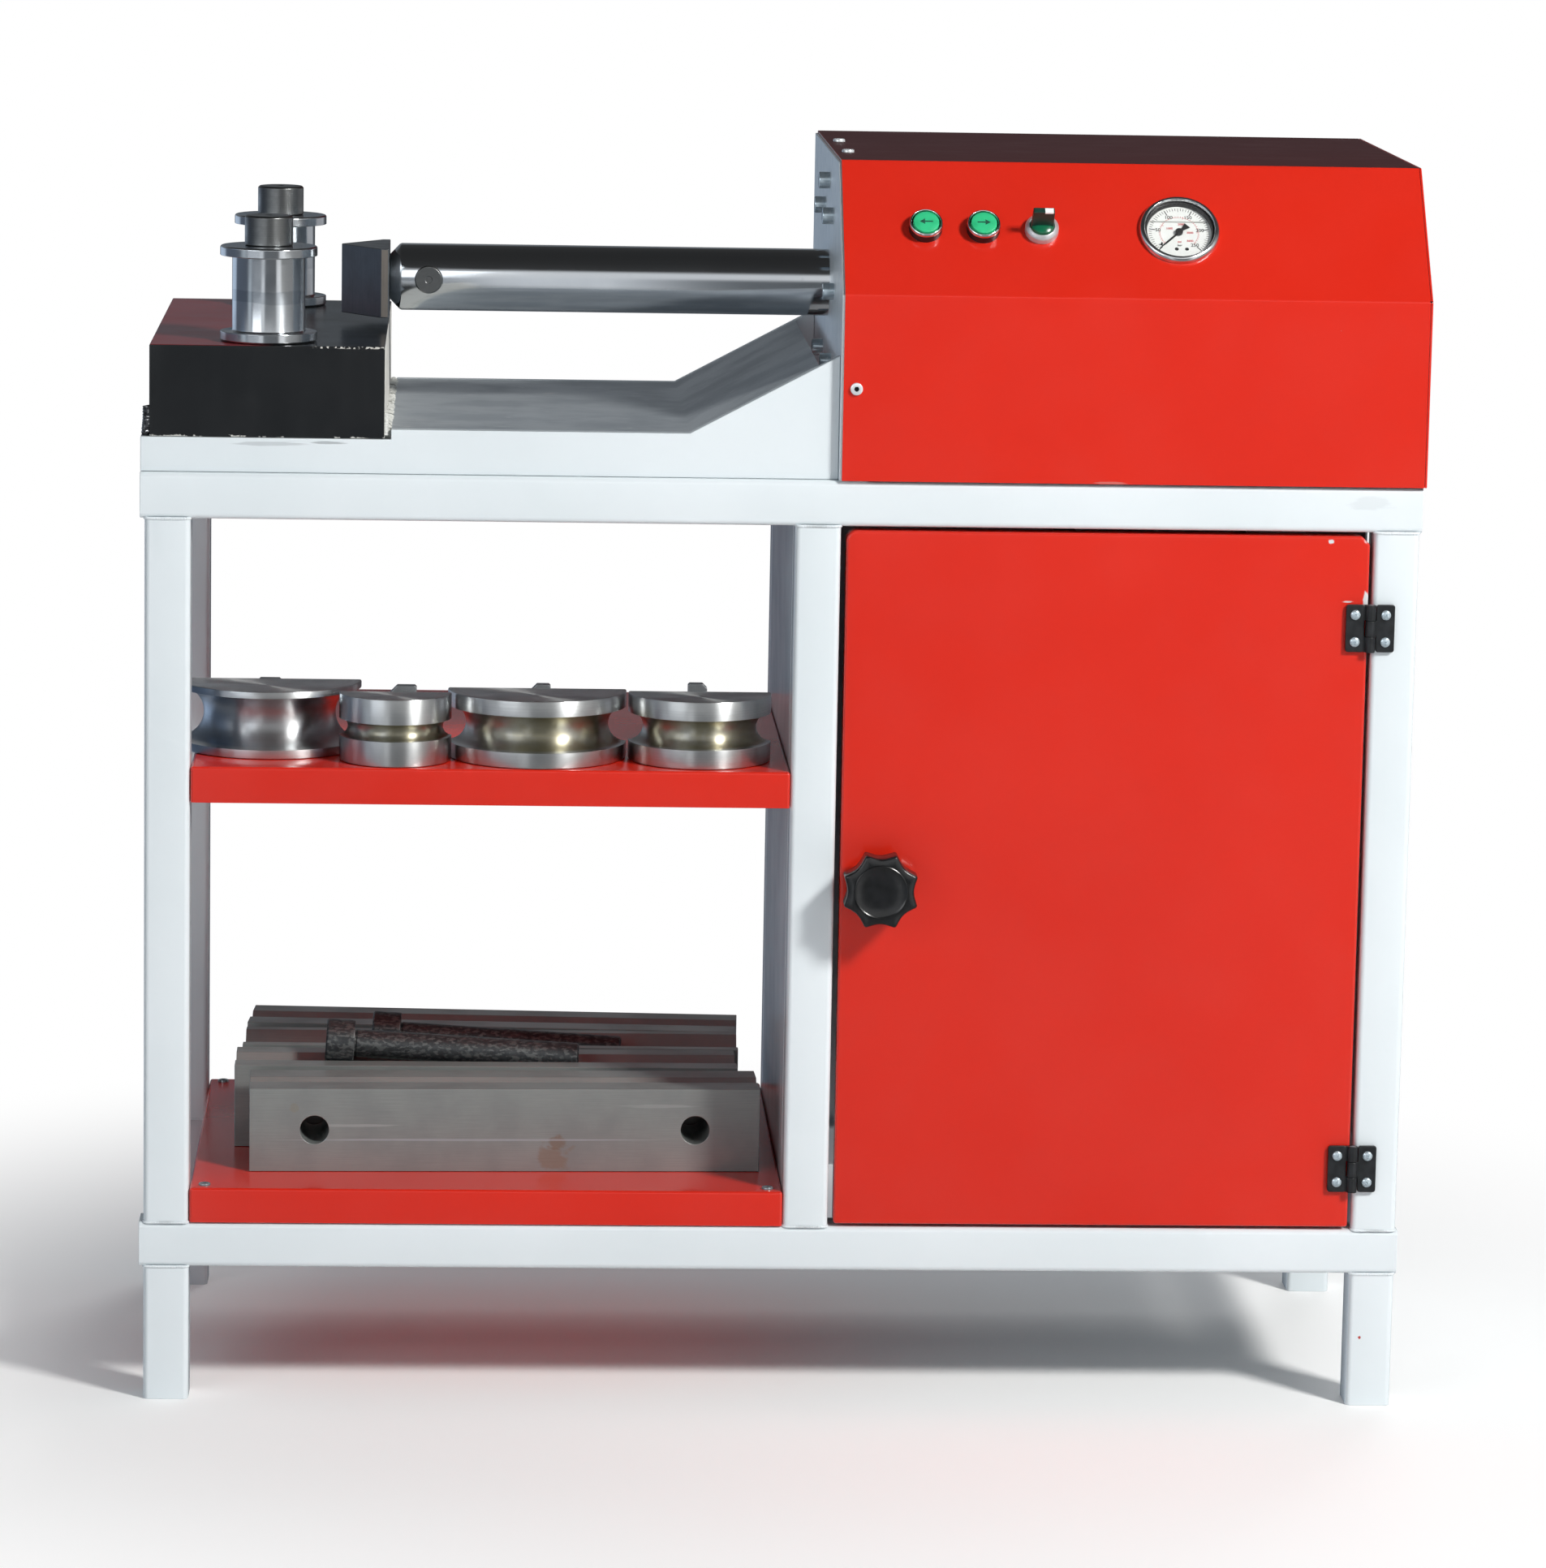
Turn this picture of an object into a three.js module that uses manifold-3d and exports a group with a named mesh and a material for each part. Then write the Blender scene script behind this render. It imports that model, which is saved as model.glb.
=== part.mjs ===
import * as THREE from "three";
import { mergeVertices } from "three/addons/utils/BufferGeometryUtils.js";
import Module from "manifold-3d";

const wasm = await Module();
wasm.setup();

// Horizontal ram bending press on a tube stand, with counter-rollers, cover, door and tooling shelves.
// Millimetres. X runs right from the stand's left face, Y back from its front face, Z up from the floor.

// Driving dimensions
const frameWidth = 1114;
const frameDepth = 456;
const frameHeight = 828;
const footHeight = 121;
const tubeSize = 40;
const postLeft = 566;
const coverLength = 513;
const coverHeight = 273;
const coverOverhang = 4.2;
const coverLap = 22.8;
const plateThickness = 25;
const ramRadius = 30;
const ramAxisShare = 0.56044;

// Fits and cutters
const seat = 0.3;
const running = 0.4;
const overrun = 2;
const sheet = 2;

// Stand tubes
const railOverhangLeft = 4;
const railOverhangRight = 2;
const tubeWall = 3;
const tubeCorner = 5;
const ventRadius = 5;
const baseTop = footHeight + tubeSize;
const ringBottom = frameHeight - tubeSize;
const postRight = postLeft + tubeSize;
const legRight = frameWidth - tubeSize;
const railRear = frameDepth - tubeSize;

// Ram axis, and the cylinder plate just inside the cover's left edge
const ramAxisHeight = coverHeight * ramAxisShare;
const ramY = frameDepth / 2;
const ramZ = frameHeight + ramAxisHeight;
const coverRight = frameWidth + coverOverhang;
const coverLeft = coverRight - coverLength;
const plateLeft = coverLeft + coverLap - plateThickness;

// Bed
const bedOverhang = 4;
const bedInset = 8;
const bedPlate = 12;
const bedRearInset = 8;
const blockStepHeight = 30.4;
const bedTopHeight = 39;
const rampRun = 130;
const rampGap = 14.5;
const rampClearance = 18;
const bedLeft = -bedOverhang;
const bedRight = plateLeft - seat;
const bedRear = frameDepth - bedRearInset;
const bedBottom = frameHeight + seat;
const blockSeat = frameHeight + blockStepHeight;
const bedTop = frameHeight + bedTopHeight;
const rampX = plateLeft - rampRun;
const rampRise = ramAxisHeight - ramRadius - rampGap - bedTopHeight;

// Punch and cross pin
const spigotRadius = 18;
const spigotLength = 62;
const crossPinSetback = 35;
const crossPinRadius = 12.5;
const crossPinProud = 2;
const punchApex = 43;
const punchPlate = 7;
const punchHalfWidth = 53;
const punchNose = 2;
const punchHeight = 61.5;
const punchDrop = 2;
const punchBottom = ramZ - punchDrop - punchHeight / 2;

// Bolster block, under the punch
const blockLeft = 3.5;
const blockWidth = 204;
const blockInset = 10;
const blockStepGap = 5.5;
const punchClearance = 9.75;
const blockBottom = blockSeat + seat;
const blockTop = punchBottom - punchClearance;
const blockRight = blockLeft + blockWidth;
const stepX = blockRight + blockStepGap;

// Ram
const ramTipGap = 0.8;
const ramTipX = blockRight + ramTipGap;
const ramChamfer = 10;

// Counter-rollers and their pins
const rollerFromLeft = 101.5;
const rollerFromSide = 55.5;
const rollerX = blockLeft + rollerFromLeft;
const rollerSpread = frameDepth - 2 * rollerFromSide;
const rollerFlangeRadius = 42.3;
const rollerBodyRadius = 31.8;
const rollerFlange = 8.6;
const rollerHeight = 83;
const rollerChamfer = 1.2;
const pinRadius = 12.7;
const pinHeadRadius = 21;
const pinHeadHeight = 26;
const pinChamfer = 1.6;
const pinFloor = 9.8;
const pinDepth = blockTop - blockBottom - pinFloor;

// Cylinder and its flange plate
const boltEdge = 28;
const boltCircleRadius = coverHeight - ramAxisHeight - boltEdge;
const boltCount = 8;
const boltHeadRadius = 7.5;
const boltHeadHeight = 10;
const flangeEdge = 15.5;
const flangeRadius = boltCircleRadius + flangeEdge;
const flangeThickness = 30;
const barrelRadius = 62;
const cavityRadius = 50;
const capThickness = 25;
const pistonLength = 50;
const pistonGap = 5;
const strokeForward = 60;
const barrelEndGap = 74.9;
const portRadius = 5;
const portBossRadius = 11;
const portBossHeight = 14;
const portInset = 14;

// Cover and its screws
const coverFront = -3.2;
const coverRearOverhang = 30;
const slantRun = 97.2;
const slantRise = 110;
const screwHeadRadius = 5.5;
const screwHeadHeight = 2.6;
const screwRise = 81;
const topScrewShares = [0.245, 0.6046];
const coverBottom = frameHeight + seat;
const coverTop = frameHeight + coverHeight;
const coverRear = frameDepth + coverRearOverhang;
const bendZ = coverTop - slantRise;
const slantAngle = Math.atan2(slantRise, slantRun);
const slantLength = Math.hypot(slantRise, slantRun);

// Controls on the slanted panel
const panelShares = { forward: 0.14, back: 0.2384, selector: 0.338, gauge: 0.5739 };
const alongPanel = (share) => coverLeft + coverLength * share;
const forwardButtonX = alongPanel(panelShares.forward);
const backButtonX = alongPanel(panelShares.back);
const selectorX = alongPanel(panelShares.selector);
const gaugeX = alongPanel(panelShares.gauge);
const buttonDrop = 1.6;
const gaugeRow = slantLength / 2;
const buttonRow = gaugeRow - buttonDrop;
const bezelRadius = 14.75;
const bezelHeight = 11;
const bezelChamfer = 1.6;
const barrelShankRadius = 11;
const barrelDepth = 34;
const nutRadius = 14.5;
const nutThickness = 5;
const capFloor = 1;
const capBoreRadius = 12;
const stemBoreRadius = 8;
const buttonTravel = 3.5;
const buttonTop = 11.5;
const buttonChamfer = 1.4;
const buttonStem = 30;
const selectorHeight = 8.5;
const selectorDisc = 10.5;
const handleLength = 19.5;
const handleWidth = 5.4;
const handleTop = 30;
const handleTaperShare = 0.6;

// Pressure gauge
const gaugeRadius = 35.5;
const gaugeCaseRadius = 31.6;
const gaugeInnerRadius = 31;
const gaugeLipRadius = 29.5;
const gaugeHeight = 6;
const gaugeLip = 1.4;
const gaugeDepth = 28;
const gaugeRecess = 8.5;
const gaugeChamfer = 4.2;
const gaugeStemRadius = 7;
const gaugeStem = 14;
const glassThickness = 2;
const spindleRadius = 1.5;
const hubRadius = 4.2;
const hubThickness = 1.8;
const needleLength = 24;
const needleTail = 10.5;
const needleTailWidth = 6.4;
const needleWidth = 2;
const needleTipShare = 0.3;
const needleZeroDegrees = 225;

// Door
const doorGapLeft = 5;
const doorGapRight = 3.6;
const doorGapBottom = 3;
const doorGapTop = 3.5;
const doorDepth = 20;
const doorRound = 9;
const doorClip = 7;
const doorLeft = postRight + doorGapLeft;
const doorRight = legRight - doorGapRight;
const doorBottom = baseTop + doorGapBottom;
const doorTop = ringBottom - doorGapTop;

// Door knob and latch cam
const knobX = 33.6;
const knobRise = 308;
const knobRadius = 32.5;
const knobLobe = 3;
const knobLobes = 8;
const knobBase = 12;
const knobFace = 40;
const knobCapRadius = 23;
const knobProud = 45;
const knobNeckRadius = 12.5;
const knobSpindleRadius = 5.2;
const camLength = 60;
const camWidth = 16;
const camThickness = 4;
const camTail = 8;

// Door hinges
const hingeHeight = 42;
const hingeLeaf = 21.5;
const hingeLeafThickness = 4;
const knuckleRadius = 4.5;
const hingePinRadius = 2.2;
const hingeAxisGap = 1.7;
const hingeAxisFront = 5;
const hingeFromTop = 80.5;
const hingeFromBottom = 54;
const hingeScrewX = 13.5;
const hingeScrewZ = 12;
const hingeScrewRadius = 4.4;
const hingeScrewDome = 2.2;

// Shelves
const shelfGap = 0.5;
const shelfLip = 32;
const lowerShelfHeight = 31;
const upperShelfHeight = 409;
const shelfScrewInset = 13;
const shelfScrewRadius = 4;
const shelfScrewHeight = 2.2;
const lowerShelfTop = baseTop + seat + lowerShelfHeight;
const upperShelfTop = baseTop + upperShelfHeight;
const shelfLeft = tubeSize + shelfGap;
const shelfRight = postLeft - shelfGap;
const shelfWidth = shelfRight - shelfLeft;

// Power unit inside the cabinet
const tankMargin = 34;
const tankLeft = postRight + tankMargin;
const tankWidth = legRight - postRight - 2 * tankMargin;
const tankBearing = 15;
const tankHeight = 220;
const tankLid = 4;
const tankLidOverhang = 8;
const tankShares = { filler: 0.105, motor: 0.3, valve: 0.6, valveWidth: 0.25 };
const motorX = tankLeft + tankWidth * tankShares.motor;
const motorRadius = 70;
const motorHeight = 220;
const motorFlange = 12;
const motorFlangeRadius = 82;
const fanCowlRadius = 66;
const fanCowlHeight = 40;
const terminalBox = 60;
const terminalRise = 24;
const terminalHeight = 90;
const pumpRadius = 40;
const pumpHeight = 90;
const fillerX = tankLeft + tankWidth * tankShares.filler;
const fillerY = 90;
const fillerRadius = 22;
const fillerHeight = 35;
const valveLeft = tankLeft + tankWidth * tankShares.valve;
const valveWidth = tankWidth * tankShares.valveWidth;
const valveFront = 80;
const valveDepth = 90;
const valveHeight = 90;
const hoseRadius = 8;
const hoseInsetShare = 0.25;
const hoseLead = 40;
const hoseClipHeight = 20;
const hoseClipRise = 120;
const glandRadius = 12;
const glandLength = 16;
const glandInset = 90;
const glandRise = 120;

// Formers on the upper shelf: half-discs with a round groove and a key up the flat back
const formerHeight = 60;
const keyDepth = 9;
const formerEdge = 1.5;
const formerShares = [
  { name: "former_1", x: 0.1242, front: 0.0855, radius: 0.1554, groove: 0.3833, rise: 0.5167 },
  { name: "former_2", x: 0.3387, front: 0.0037, radius: 0.0943, groove: 0.1267, rise: 0.5 },
  { name: "former_3", x: 0.5773, front: 0.0018, radius: 0.1505, groove: 0.2667, rise: 0.5 },
  { name: "former_4", x: 0.8514, front: 0.0149, radius: 0.1206, groove: 0.2167, rise: 0.5 },
];
const formers = formerShares.map(({ name, x, front, radius, groove, rise }) => ({
  name,
  x: shelfLeft + shelfWidth * x,
  front: frameDepth * front,
  radius: shelfWidth * radius,
  groove: formerHeight * groove,
  rise: formerHeight * rise,
}));

// Keys up the formers' backs, in shares of the usual key's width
const keyWidth = 20;
const keyShares = {
  former_1: { width: 1, x: 0, proud: 0, leftBevel: 0.075, rightBevel: 0.075 },
  former_2: { width: 1.2, x: 0.33, proud: 0.275, leftBevel: 0.35, rightBevel: 0.075 },
  former_3: { width: 0.95, x: 0.11, proud: 0.175, leftBevel: 0.35, rightBevel: 0.075 },
  former_4: { width: 0.85, x: -0.11, proud: 0.35, leftBevel: 0.075, rightBevel: 0.2 },
};

// V bars on the lower shelf, each with one lengthwise groove, and the loose pins in two of them
const barLengthShare = 0.8705;
const barDepthShare = 0.1754;
const barLength = shelfWidth * barLengthShare;
const barDepth = frameDepth * barDepthShare;
const barHeight = 75.5;
const barHoleRadius = 12.9;
const barHoleInset = 58;
const barHoleRise = 38;
const barShares = [
  { name: "v_bar_1", x: 0.0962, front: 0.1447, groove: 0.275, swing: 0.1595 },
  { name: "v_bar_2", x: 0.0638, front: 0.364, groove: 0.4375, swing: 0.03 },
  { name: "v_bar_3", x: 0.0714, front: 0.5636, groove: 0.7125, swing: -0.0898 },
  { name: "v_bar_4", x: 0.0733, front: 0.7851, groove: 0.35, swing: -0.3488 },
];
const bars = barShares.map(({ name, x, front, groove, swing }) => ({
  name,
  x: shelfLeft + shelfWidth * x,
  front: frameDepth * front,
  groove: barDepth * groove,
  turn: Math.asin((barDepth * swing) / barLength),
}));
const sparePinLength = 205;
const sparePinShares = [
  { name: "spare_pin_front", bar: 1, along: 0.2363 },
  { name: "spare_pin_rear", bar: 2, along: 0.3151 },
];

// Sides of round pieces
const smallSides = 12;
const roundSides = 24;
const arcSteps = 1;
const hoseSides = 8;
const hoseSteps = 14;

// Finishes
const finish = (colour, roughness, metalness) =>
  new THREE.MeshStandardMaterial({ color: colour, roughness, metalness });
const whitePaint = finish(0xdfe8ea, 0.4, 0);
const redPaint = finish(0xd8302a, 0.35, 0);
const rawSteel = finish(0x8b8d90, 0.45, 1);
const cutSteel = finish(0xb9bcc0, 0.35, 1);
const blackBlock = finish(0x15161a, 0.3, 0.2);
const turnedSteel = finish(0x9a9c9f, 0.25, 1);
const polishedSteel = finish(0xb4b8bc, 0.12, 1);
const darkSteel = finish(0x3a3a3c, 0.5, 1);
const chrome = finish(0xd6d8da, 0.1, 1);
const greenPlastic = finish(0x1c8a4a, 0.4, 0);
const greyMetal = finish(0x8e9296, 0.45, 0.8);
const blackPlastic = finish(0x141414, 0.5, 0);
const dialWhite = finish(0xf2f2ee, 0.6, 0);
const clearGlass = finish(0xe8f0f2, 0.05, 0);
const rubber = finish(0x1a1a1a, 0.7, 0);

// Geometry as a solid for cutting and joining, and back
function toSolid(geometry) {
  const bare = geometry.clone();
  bare.deleteAttribute("normal");
  bare.deleteAttribute("uv");
  const merged = mergeVertices(bare);
  const vertProperties = merged.getAttribute("position").array;
  const triVerts = new Uint32Array(merged.index.array);
  return new wasm.Manifold(new wasm.Mesh({ numProp: 3, vertProperties, triVerts }));
}

function toGeometry(made) {
  const { vertProperties, triVerts } = made.getMesh();
  const geometry = new THREE.BufferGeometry();
  geometry.setAttribute("position", new THREE.BufferAttribute(new Float32Array(vertProperties), 3));
  geometry.setIndex(new THREE.BufferAttribute(new Uint32Array(triVerts), 1));
  return geometry;
}

const join = (...pieces) => toGeometry(pieces.map(toSolid).reduce((whole, next) => whole.add(next)));

const cut = (body, ...tools) =>
  toGeometry(tools.map(toSolid).reduce((whole, tool) => whole.subtract(tool), toSolid(body)));

const common = (a, b) => toGeometry(toSolid(a).intersect(toSolid(b)));

// Box between two corners, each face exactly on its named place
function box(x0, x1, y0, y1, z0, z1) {
  const geometry = new THREE.BoxGeometry(1, 1, 1);
  const p = geometry.getAttribute("position");
  for (let i = 0; i < p.count; i++) {
    p.setXYZ(i, p.getX(i) < 0 ? x0 : x1, p.getY(i) < 0 ? y0 : y1, p.getZ(i) < 0 ? z0 : z1);
  }
  return geometry;
}

// Outline drawn square to an axis and stretched along it: (Y, Z) for x, (X, Z) for y, (X, Y) for z
function stretched(shape, axis, from, to) {
  const options = { depth: 1, bevelEnabled: false, curveSegments: arcSteps };
  const geometry = new THREE.ExtrudeGeometry(shape, options);
  const p = geometry.getAttribute("position");
  for (let i = 0; i < p.count; i++) {
    const [u, v, near] = [p.getX(i), p.getY(i), p.getZ(i) < 0.5];
    if (axis === "x") p.setXYZ(i, near ? from : to, u, v);
    if (axis === "y") p.setXYZ(i, u, near ? to : from, v);
    if (axis === "z") p.setXYZ(i, u, v, near ? from : to);
  }
  return geometry;
}

const outline = (points) => new THREE.Shape(points.map(([u, v]) => new THREE.Vector2(u, v)));

function circle(u, v, radius, sides) {
  const points = [];
  for (let i = 0; i < sides; i++) {
    const angle = (2 * Math.PI * i) / sides;
    points.push([u + radius * Math.cos(angle), v + radius * Math.sin(angle)]);
  }
  return outline(points);
}

const rod = (axis, u, v, radius, from, to, sides = roundSides) =>
  stretched(circle(u, v, radius, sides), axis, from, to);

// Profile of [radius, height] pairs turned about Z
function turned(profile, sides = roundSides) {
  const points = profile.map(([radius, height]) => new THREE.Vector2(radius, height));
  return new THREE.LatheGeometry(points, sides).rotateX(Math.PI / 2);
}

const closed = (profile) => [...profile, profile[0]];

function add(parent, name, geometry, material) {
  const mesh = new THREE.Mesh(geometry, material);
  mesh.name = name;
  parent.add(mesh);
  return mesh;
}

// Square tube section with rounded corners, its low corner at (u, v)
function tubeOutline(u, v, inset) {
  const [a, b] = [u + inset, v + inset];
  const size = tubeSize - 2 * inset;
  const corner = tubeCorner - inset;
  const shape = new THREE.Shape();
  shape.absarc(a + size - corner, b + corner, corner, -Math.PI / 2, 0);
  shape.absarc(a + size - corner, b + size - corner, corner, 0, Math.PI / 2);
  shape.absarc(a + corner, b + size - corner, corner, Math.PI / 2, Math.PI);
  shape.absarc(a + corner, b + corner, corner, Math.PI, 1.5 * Math.PI);
  return shape;
}

const fullBar = (axis, u, v, from, to) => stretched(tubeOutline(u, v, 0), axis, from, to);
const tubeCavity = (axis, u, v, from, to) => stretched(tubeOutline(u, v, tubeWall), axis, from, to);

function openTube(axis, u, v, from, to) {
  const section = tubeOutline(u, v, 0);
  section.holes.push(tubeOutline(u, v, tubeWall));
  return stretched(section, axis, from, to);
}

// A long rail with closed ends, drained into the uprights through a hole at each end
function longRail(y, z, ventFrom, ventTo) {
  const [left, right] = [-railOverhangLeft, frameWidth + railOverhangRight];
  const cavity = tubeCavity("x", y, z, left + tubeWall, right - tubeWall);
  const vents = [0, legRight].map((x) =>
    rod("z", x + tubeSize / 2, y + tubeSize / 2, ventRadius, ventFrom, ventTo, smallSides),
  );
  return { solid: fullBar("x", y, z, left, right), cavity, vents };
}

// The lower rails carry the two feet on their side, welded on
function bottomRail(y) {
  const { solid, cavity, vents } = longRail(y, footHeight, footHeight - overrun, baseTop + overrun);
  const feet = [0, legRight].map((x) => fullBar("z", x, y, 0, footHeight + tubeCorner));
  const hollows = [0, legRight].map((x) => tubeCavity("z", x, y, tubeWall, footHeight));
  return cut(join(solid, ...feet), cavity, ...hollows, ...vents);
}

function topRail(y) {
  const { solid, cavity, vents } = longRail(y, ringBottom, ringBottom - overrun, ringBottom + tubeSize / 2);
  return cut(solid, cavity, ...vents);
}

function addStand(parent) {
  for (const [side, y] of [["front", 0], ["rear", railRear]]) {
    add(parent, `bottom_rail_${side}`, bottomRail(y), whitePaint);
    add(parent, `top_rail_${side}`, topRail(y), whitePaint);
    add(parent, `upright_${side}_left`, openTube("z", 0, y, baseTop, ringBottom), whitePaint);
    add(parent, `upright_${side}_right`, openTube("z", legRight, y, baseTop, ringBottom), whitePaint);
    add(parent, `middle_post_${side}`, openTube("z", postLeft, y, baseTop, ringBottom), whitePaint);
  }
  for (const [side, x] of [["left", 0], ["right", legRight]]) {
    add(parent, `bottom_cross_${side}`, openTube("y", x, footHeight, tubeSize, railRear), whitePaint);
    add(parent, `top_cross_${side}`, openTube("y", x, ringBottom, tubeSize, railRear), whitePaint);
  }
}

// Bed: two profiled side plates with a plate and ramp between them
function bedSide(y) {
  const side = outline([
    [bedLeft, bedBottom],
    [bedRight, bedBottom],
    [bedRight, bedTop + rampRise],
    [rampX, bedTop],
    [stepX, bedTop],
    [stepX, blockSeat],
    [bedLeft, blockSeat],
  ]);
  return stretched(side, "y", y, y + bedPlate);
}

function bedTopPlate() {
  const rampEnd = plateLeft - rampClearance;
  const endRise = (rampRise * (rampEnd - rampX)) / (bedRight - rampX);
  const profile = outline([
    [bedLeft, blockSeat - bedPlate],
    [stepX + bedPlate, blockSeat - bedPlate],
    [stepX + bedPlate, bedTop - bedPlate],
    [rampX, bedTop - bedPlate],
    [rampEnd, bedTop + endRise - bedPlate],
    [rampEnd, bedTop + endRise],
    [rampX, bedTop],
    [stepX, bedTop],
    [stepX, blockSeat],
    [bedLeft, blockSeat],
  ]);
  return stretched(profile, "y", bedInset + bedPlate + seat, bedRear - bedPlate - seat);
}

function addBed(parent) {
  add(parent, "bed_side_front", bedSide(bedInset), whitePaint);
  add(parent, "bed_side_rear", bedSide(bedRear - bedPlate), whitePaint);
  add(parent, "bed_top_plate", bedTopPlate(), rawSteel);
}

const rollerPlaces = [
  ["front", ramY - rollerSpread / 2],
  ["rear", ramY + rollerSpread / 2],
];

function bolsterBlock() {
  const body = box(blockLeft, blockRight, blockInset, frameDepth - blockInset, blockBottom, blockTop);
  const bores = rollerPlaces.map(([, y]) =>
    rod("z", rollerX, y, pinRadius + running, blockBottom - overrun, blockTop + overrun),
  );
  return cut(body, ...bores);
}

// Spool-shaped roller, bored for its pin
function roller() {
  const bore = pinRadius + running;
  const [wide, slim] = [rollerFlangeRadius, rollerBodyRadius];
  return turned(
    closed([
      [bore, 0],
      [wide - rollerChamfer, 0],
      [wide, rollerChamfer],
      [wide, rollerFlange],
      [slim, rollerFlange],
      [slim, rollerHeight - rollerFlange],
      [wide, rollerHeight - rollerFlange],
      [wide, rollerHeight - rollerChamfer],
      [wide - rollerChamfer, rollerHeight],
      [bore, rollerHeight],
    ]),
  );
}

// Headed pin, the underside of its head at height zero
function headedPin(shank) {
  return turned([
    [0, -shank],
    [pinRadius - pinChamfer, -shank],
    [pinRadius, pinChamfer - shank],
    [pinRadius, 0],
    [pinHeadRadius, 0],
    [pinHeadRadius, pinHeadHeight - pinChamfer],
    [pinHeadRadius - pinChamfer, pinHeadHeight],
    [0, pinHeadHeight],
  ]);
}

function addRollers(parent) {
  for (const [side, y] of rollerPlaces) {
    const bottom = blockTop + seat;
    const spool = add(parent, `roller_${side}`, roller(), turnedSteel);
    spool.position.set(rollerX, y, bottom);
    const pin = headedPin(seat + rollerHeight + seat + pinDepth);
    add(parent, `roller_pin_${side}`, pin, rawSteel).position.set(rollerX, y, bottom + rollerHeight + seat);
  }
}

// Cylinder lengths along X, worked out from the stroke
const crossPinX = ramTipX + crossPinSetback;
const flangeLeft = plateLeft + plateThickness + seat;
const cavityLeft = flangeLeft + flangeThickness;
const cavityRight = coverRight - barrelEndGap - capThickness;
const pistonLeft = cavityLeft + pistonGap + strokeForward;

const alongRam = (geometry) => geometry.rotateY(Math.PI / 2).translate(0, ramY, ramZ);

// Ram with its piston, drilled for the punch's spigot and the cross pin
function ram() {
  const bore = spigotRadius + running;
  const body = alongRam(
    turned([
      [0, ramTipX + spigotLength + seat],
      [bore, ramTipX + spigotLength + seat],
      [bore, ramTipX],
      [ramRadius - ramChamfer, ramTipX],
      [ramRadius, ramTipX + ramChamfer],
      [ramRadius, pistonLeft],
      [cavityRadius - running, pistonLeft],
      [cavityRadius - running, pistonLeft + pistonLength],
      [0, pistonLeft + pistonLength],
    ]),
  );
  return cut(body, crossHole(ramRadius + overrun));
}

const crossHole = (reach) =>
  rod("y", crossPinX, ramZ, crossPinRadius + seat, ramY - reach, ramY + reach);

// V punch: a wedge on a back plate, with a spigot that enters the ram
function punch() {
  const back = ramTipX - seat;
  const wedge = outline([
    [back, ramY - punchHalfWidth],
    [back, ramY + punchHalfWidth],
    [back - punchPlate, ramY + punchHalfWidth],
    [back - punchApex, ramY + punchNose],
    [back - punchApex, ramY - punchNose],
    [back - punchPlate, ramY - punchHalfWidth],
  ]);
  const body = stretched(wedge, "z", punchBottom, punchBottom + punchHeight);
  const spigot = rod("x", ramY, ramZ, spigotRadius, back - punchPlate, ramTipX + spigotLength);
  return cut(join(body, spigot), crossHole(ramRadius));
}

function addRam(parent) {
  add(parent, "ram", ram(), polishedSteel);
  add(parent, "punch", punch(), darkSteel);
  const reach = ramRadius + crossPinProud;
  add(parent, "ram_pin", rod("y", crossPinX, ramZ, crossPinRadius, ramY - reach, ramY + reach), cutSteel);
}

// Cross-section of the cover, moved inwards by an even distance, with its own bottom height
function coverOutline(inset, bottom) {
  const [sin, cos] = [Math.sin(slantAngle), Math.cos(slantAngle)];
  const top = coverTop - inset;
  return outline([
    [coverFront + inset, bottom],
    [coverRear - inset, bottom],
    [coverRear - inset, top],
    [coverFront + (inset + (top - bendZ) * cos) / sin, top],
    [coverFront + inset, bendZ + (inset * (sin - 1)) / cos],
  ]);
}

// Flange plate with the heads of the bolts that hold the cylinder
function cylinderPlate() {
  const plateRight = plateLeft + plateThickness;
  const body = stretched(coverOutline(sheet + seat, coverBottom), "x", plateLeft, plateRight);
  const heads = [];
  for (let i = 0; i < boltCount; i++) {
    const angle = (2 * Math.PI * i) / boltCount;
    const y = ramY + boltCircleRadius * Math.cos(angle);
    const z = ramZ + boltCircleRadius * Math.sin(angle);
    heads.push(rod("x", y, z, boltHeadRadius, plateLeft - boltHeadHeight, plateLeft + overrun, smallSides));
  }
  const bore = rod("x", ramY, ramZ, ramRadius + seat, plateLeft - overrun, plateRight + overrun);
  return cut(join(body, ...heads), bore);
}

const portPlaces = [cavityLeft + portInset, cavityRight - portInset];
const portFace = ramZ - barrelRadius - portBossHeight;

// Cylinder barrel with front flange, end cap and two oil ports underneath
function cylinderBarrel() {
  const body = alongRam(
    turned([
      [0, cavityRight + capThickness],
      [barrelRadius, cavityRight + capThickness],
      [barrelRadius, cavityLeft],
      [flangeRadius, cavityLeft],
      [flangeRadius, flangeLeft],
      [ramRadius + running, flangeLeft],
      [ramRadius + running, cavityLeft],
      [cavityRadius, cavityLeft],
      [cavityRadius, cavityRight],
      [0, cavityRight],
    ].reverse()),
  );
  const bossTop = ramZ - (cavityRadius + barrelRadius) / 2;
  const bosses = portPlaces.map((x) => rod("z", x, ramY, portBossRadius, portFace, bossTop, smallSides));
  const ports = portPlaces.map((x) => rod("z", x, ramY, portRadius, portFace - overrun, ramZ, smallSides));
  return cut(join(body, ...bosses), ...ports);
}

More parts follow.
